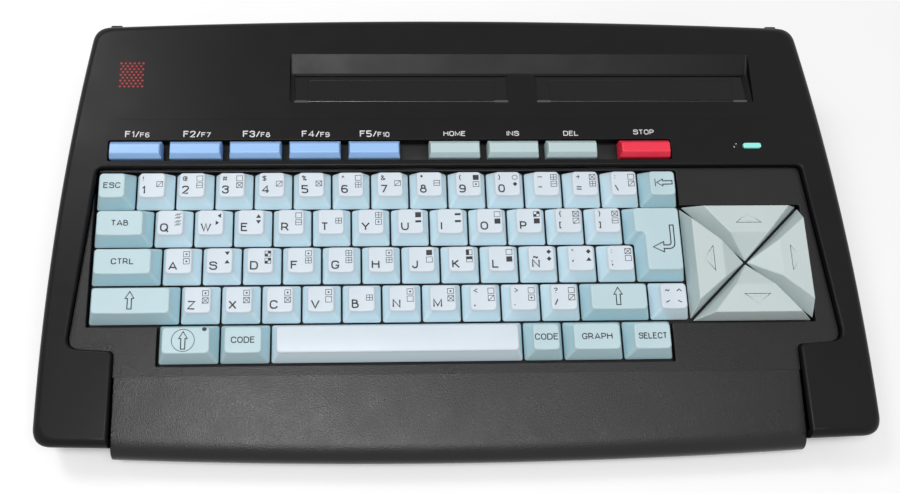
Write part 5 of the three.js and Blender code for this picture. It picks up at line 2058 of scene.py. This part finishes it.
@dataclass(frozen=True)
class RearPanel:
    """Contacts and shells in the sockets of the rear panel."""

    contact_circle: float = 4.4  # radius of the ring of contacts in a round socket
    sleeve_profile: tuple[Pair, ...] = ((1.0, -7.8), (1.0, -6.6), (0.62, -6.6), (0.62, -7.6))  # from the face
    shell_profile: tuple[Pair, ...] = ((7.0, -7.9), (7.0, 0.15), (6.5, 0.15), (6.5, -7.7))
    tongue: tuple[float, float] = (31.0, 2.4)  # width and height
    tongue_contacts: int = 7
    tongue_pitch: float = 4.0
    port_spread: float = 16.0  # from the middle to each joystick port
    port_pitch: float = 2.76
    port_rows: tuple[tuple[int, float], ...] = ((5, 1.42), (4, -1.42))  # pins and height of each row

    def build(self) -> None:
        """Make the contacts and the shells."""
        self.pins("power_inlet", [(0.0, 0.0)], 0.9, 6.0)
        self.holes("cassette_socket", circle(self.contact_circle, 8, math.radians(22.5)))
        self.holes("video_socket", circle(self.contact_circle, 5, math.radians(-90.0)))
        self.printer()
        places = [
            (port + (number - (count - 1) / 2) * self.port_pitch, height)
            for port in (-self.port_spread, self.port_spread)
            for count, height in self.port_rows
            for number in range(count)
        ]
        self.pins("joystick_ports", places, 0.5, 3.5)

    @staticmethod
    def face_of(node: str) -> Vector:
        """Return the middle of a socket's front face."""
        low, high = (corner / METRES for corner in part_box(node))
        return Vector(((low.x + high.x) / 2, high.y, (low.z + high.z) / 2))

    def pins(self, node: str, places: Sequence[Pair], radius: float, length: float) -> None:
        """Make round contact pins.

        Args:
            node: The socket.
            places: The pins' places about its middle.
            radius: Radius of a pin.
            length: Its length.
        """
        made = Sculpt()
        for x, z in places:
            profile = ((radius, -length - 3.0), (radius, -2.6), (radius * 0.6, -2.0))
            made.turned(self.face_of(node) + Vector((x, 0.0, z)), Axis.Y, profile, 16)
        add_shape(f"{node}_pins", made, WORLD, Finishes.GOLD)

    def holes(self, node: str, places: Sequence[Pair]) -> None:
        """Make a round socket's contact sleeves and its shell.

        Args:
            node: The socket.
            places: The sleeves' places about its middle.
        """
        face, sleeves = self.face_of(node), Sculpt()
        for x, z in places:
            sleeves.turned(face + Vector((x, 0.0, z)), Axis.Y, self.sleeve_profile, 14)
        shell = Sculpt().turned(face, Axis.Y, self.shell_profile, 40)
        add_shape(f"{node}_sleeves", sleeves, WORLD, Finishes.GOLD)
        add_shape(f"{node}_shell", shell, WORLD, Finishes.STEEL, slot="plate_steel")

    def printer(self) -> None:
        """Make the printer port's tongue and contacts."""
        face = self.face_of("printer_port")
        width, height = self.tongue
        tongue = Sculpt().box(about(face.x, width), (face.y - 6.9, face.y - 1.5), about(face.z, height))
        add_shape("printer_tongue", tongue.bevelled(0.3, 2), WORLD, Finishes.INSIDE, slot="inside_black")
        made = Sculpt()
        for number in range(self.tongue_contacts):
            across = about(face.x + (number - (self.tongue_contacts - 1) / 2) * self.tongue_pitch, 1.6)
            for reach in (-1.25, 1.25):
                made.box(across, (face.y - 6.8, face.y - 2.0), about(face.z + reach, 0.24))
        add_shape("printer_contacts", made, WORLD, Finishes.GOLD)


@dataclass(frozen=True)
class PowerLamp:
    """The green lamp lens right of the function keys, with a small domed sign beside it that carries painted
    highlights.
    """

    place: Pair = (150.775, 38.1)
    size: Pair = (9.2, 2.8)
    gap: float = 0.2  # between the lens and its hole
    corner: float = 1.55  # rounding of the hole's corners
    # insets and heights
    dome: tuple[Pair, ...] = ((0.25, -3.4), (0.25, 0.15), (0.33, 0.33), (0.55, 0.45), (0.95, 0.52))
    button_place: Pair = (142.2, 38.3)
    button_profile: tuple[Pair, ...] = ((1.3, -0.2), (1.25, 0.12), (1.0, 0.25), (0.5, 0.3))
    # painted highlights: white dots on the sign's dome, standing in for glints
    painted_glints: tuple[tuple[Pair, float], ...] = (((142.6, 38.9), 0.28), ((141.5, 37.2), 0.3))
    painted_glint_height: float = 0.32

    def outline(self, margin: float) -> list[Vector]:
        """Return the plan of the lens' hole inside a margin."""
        across, along = (about(at, length + 2 * self.gap) for at, length in zip(self.place, self.size))
        return inset(rounded(rectangle(across, along), self.corner, 6), margin)

    def build(self) -> None:
        """Make the lens, the sign and the painted highlights on the sign."""
        deck = DECK.matrix()
        lens = Sculpt().loft([raised(self.outline(inwards), height) for inwards, height in self.dome])
        add_shape("lamp_lens", lens, deck, Finishes.LENS, slot="lens_green", nodes=["power_lens"])
        button = Sculpt().turned(Vector((*self.button_place, 0.0)), Axis.Z, self.button_profile, 24)
        add_shape("lamp_sign", button, deck, Finishes.GLOSS, slot="case_smooth_black")
        # paint the highlights on the sign's dome as white dots
        sheet = Print()
        for place, radius in self.painted_glints:
            sheet.disc(place, radius)
        add_print(
            "lamp_painted_glints", sheet, lambda x, y: Vector((x, y, self.painted_glint_height)), deck, [Finishes.INK_AND_GLINT_WHITE]
        )


@dataclass(frozen=True)
class Ornament:
    """A patch of staggered red diamonds at the rear left of the deck."""

    left: float = -166.0
    front: float = 71.0
    columns: int = 6
    lines: int = 9
    pitch: Pair = (2.2, 1.6)
    halves: Pair = (0.68, 0.4)  # half widths of a diamond and of the paler one on it

    def build(self) -> None:
        """Print the diamonds."""
        sheet = Print()
        for line in range(self.lines):
            for column in range(self.columns - line % 2):
                x = self.left + (column + 0.5 * (line % 2)) * self.pitch[0]
                y = self.front + line * self.pitch[1]
                for ink, half in enumerate(self.halves):
                    sheet.fill([(x - half, y), (x, y - half), (x + half, y), (x, y + half)], ink)
        add_print("deck_diamonds", sheet, on_deck, DECK.matrix(), [Finishes.INK_RED, Finishes.INK_ROSE])


class CarriedNodes:
    """Finishes for the solids that show as they are."""

    FINISHES = {
        "dome_mat": Finishes.RUBBER,
        "key_backplate": Finishes.STEEL,
        "main_board": Finishes.BOARD,
        "power_inlet": Finishes.INSIDE,
        "cassette_socket": Finishes.INSIDE,
        "video_socket": Finishes.INSIDE,
        "printer_port": Finishes.INSIDE,
        "joystick_ports": Finishes.INSIDE,
        "cartridge_connector_left": Finishes.INSIDE,
        "cartridge_connector_right": Finishes.INSIDE,
        "power_switch": Finishes.INSIDE,
    }

    def build(self) -> None:
        """Give each solid its finish."""
        for name, finish in self.FINISHES.items():
            for place in frame["nodes"][name].material_slots:
                place.material = finish.material()
            log.info("%s is finished", name)


@dataclass(frozen=True)
class PhotoCamera:
    """Where the camera stood, in a frame on the keys' lower level."""

    lens: float = 34.0  # focal length in millimetres
    turns: Triple = (-0.24773, 0.03022, 0.0169)  # rotations about X, Y and Z
    offset: Triple = (-15.25076, 81.72355, -416.90791)  # the frame's origin as the camera sees it
    origin: Triple = (-47.5, 41.325, 5.0)  # the frame's origin in the deck's frame
    shift: Pair = (0.0682, 0.0626)  # how far the frame lies off the lens's axis
    sensor: float = 36.0  # width of the sensor in millimetres


@dataclass(frozen=True)
class Lamp:
    """A soft lamp: its place and size in metres and its power in watts."""

    place: Triple
    size: Pair
    power: float


@dataclass(frozen=True)
class Studio:
    """Camera, lamps and floor."""

    ambient: float = 0.36  # strength of the world's light
    floor_lift: float = 0.1  # the floor's own light, where a ray looks straight at it
    floor_half: float = 3000.0
    lamp_aim: Triple = (0.0, 0.08, 0.04)
    hung: tuple[Lamp, ...] = (
        Lamp((-0.2, -0.27, 1.12), (0.42, 0.26), 5.4),
        Lamp((0.27, -0.29, 1.12), (0.5, 0.24), 2.0),
        Lamp((-0.58, 0.45, 0.95), (0.3, 0.3), 2.6),
    )
    plain: tuple[str, ...] = ("Is Camera Ray", "Is Glossy Ray", "Is Transmission Ray")

    def camera(self) -> None:
        """Stand the camera where it was."""
        view = PhotoCamera()
        turn = Matrix.Identity(3)
        for angle, axis in zip(view.turns, "XYZ"):
            turn = turn @ Matrix.Rotation(angle, 3, axis)
        back = turn.transposed()
        spot = Vector(view.origin) - back @ Vector(view.offset)
        data = bpy.data.cameras.new("camera")
        data.sensor_width = view.sensor
        data.lens = view.lens
        data.shift_x, data.shift_y = view.shift
        data.clip_start = 0.01
        holder = linked("camera", data)
        holder.matrix_world = Matrix.Translation(DECK.matrix() @ spot) @ DECK.turn() @ back.to_4x4()
        bpy.context.scene.camera = holder

    def lamps(self) -> None:
        """Hang the soft lamps in front of the object, above it and behind it."""
        for lamp in self.hung:
            data = bpy.data.lights.new("lamp", "AREA")
            data.shape = "RECTANGLE"
            data.size, data.size_y = lamp.size
            data.energy = lamp.power
            holder = linked("lamp", data)
            holder.location = lamp.place
            way = Vector(self.lamp_aim) - Vector(lamp.place)
            holder.rotation_euler = way.to_track_quat("-Z", "Y").to_euler()

    def seen(self, tree: bpy.types.NodeTree) -> bpy.types.NodeSocket:
        """Return a socket that is 1 for the kinds of ray that see the white surroundings."""
        path = tree.nodes.new("ShaderNodeLightPath")
        found = path.outputs[self.plain[0]]
        for name in self.plain[1:]:
            higher = tree.nodes.new("ShaderNodeMath")
            higher.operation = "MAXIMUM"
            tree.links.new(found, higher.inputs[0])
            tree.links.new(path.outputs[name], higher.inputs[1])
            found = higher.outputs[0]
        return found

    def world(self) -> None:
        """Light the object evenly, in front of a white background."""
        world = bpy.data.worlds.new("studio")
        bpy.context.scene.world = world
        world.use_nodes = True
        tree = world.node_tree
        ground = tree.nodes["Background"]
        strength = tree.nodes.new("ShaderNodeMapRange")
        strength.inputs["To Min"].default_value = self.ambient
        strength.inputs["To Max"].default_value = 1.0
        tree.links.new(self.seen(tree), strength.inputs["Value"])
        tree.links.new(strength.outputs["Result"], ground.inputs["Strength"])
        ground.inputs["Color"].default_value = (1.0, 1.0, 1.0, 1.0)

    def floor(self) -> None:
        """Lay the pale floor."""
        made = Sculpt()
        span = about(0.0, 2 * self.floor_half)
        made.face(made.ring(raised(rectangle(span, span), 0.0)))
        ground = linked("floor", made.mesh("floor", WORLD))
        recipe = Recipe("floor_white")
        soft = recipe.ranged(recipe.noise(120.0, 3.0), 0.0, 1.0)
        inputs = recipe.shader.inputs
        recipe.feed(inputs["Base Color"], recipe.mixed(soft, colour_of(0xF7F7F7), colour_of(0xFAFAFA)))
        inputs["Roughness"].default_value = 0.9
        inputs["Specular IOR Level"].default_value = 0.1
        limits = {"To_Min": 0.0, "To_Max": self.floor_lift}
        lift = recipe.node("ShaderNodeMapRange", Value=self.seen(recipe.tree), **limits)
        inputs["Emission Color"].default_value = (1.0, 1.0, 1.0, 1.0)
        recipe.feed(inputs["Emission Strength"], lift.outputs["Result"])
        ground.data.materials.append(recipe.material)

    def build(self) -> None:
        """Set up the camera, the light and the floor."""
        self.camera()
        self.world()
        self.lamps()
        self.floor()
        bpy.context.scene.view_settings.view_transform = "Standard"


def main() -> None:
    """Build the studio, then the computer's sub-assemblies in order."""
    logging.basicConfig(level=logging.INFO)
    assemblies = (
        Studio(), TopCover(), Bezel(), BottomCase(), Keyboard(), CursorPad(), FunctionKeys(), CartridgeBay(),
        RearPanel(), PowerLamp(), Ornament(), CarriedNodes(),
    )
    for assembly in assemblies:
        assembly.build()
        log.info("%s is built", type(assembly).__name__)


if __name__ == "__main__":
    main()
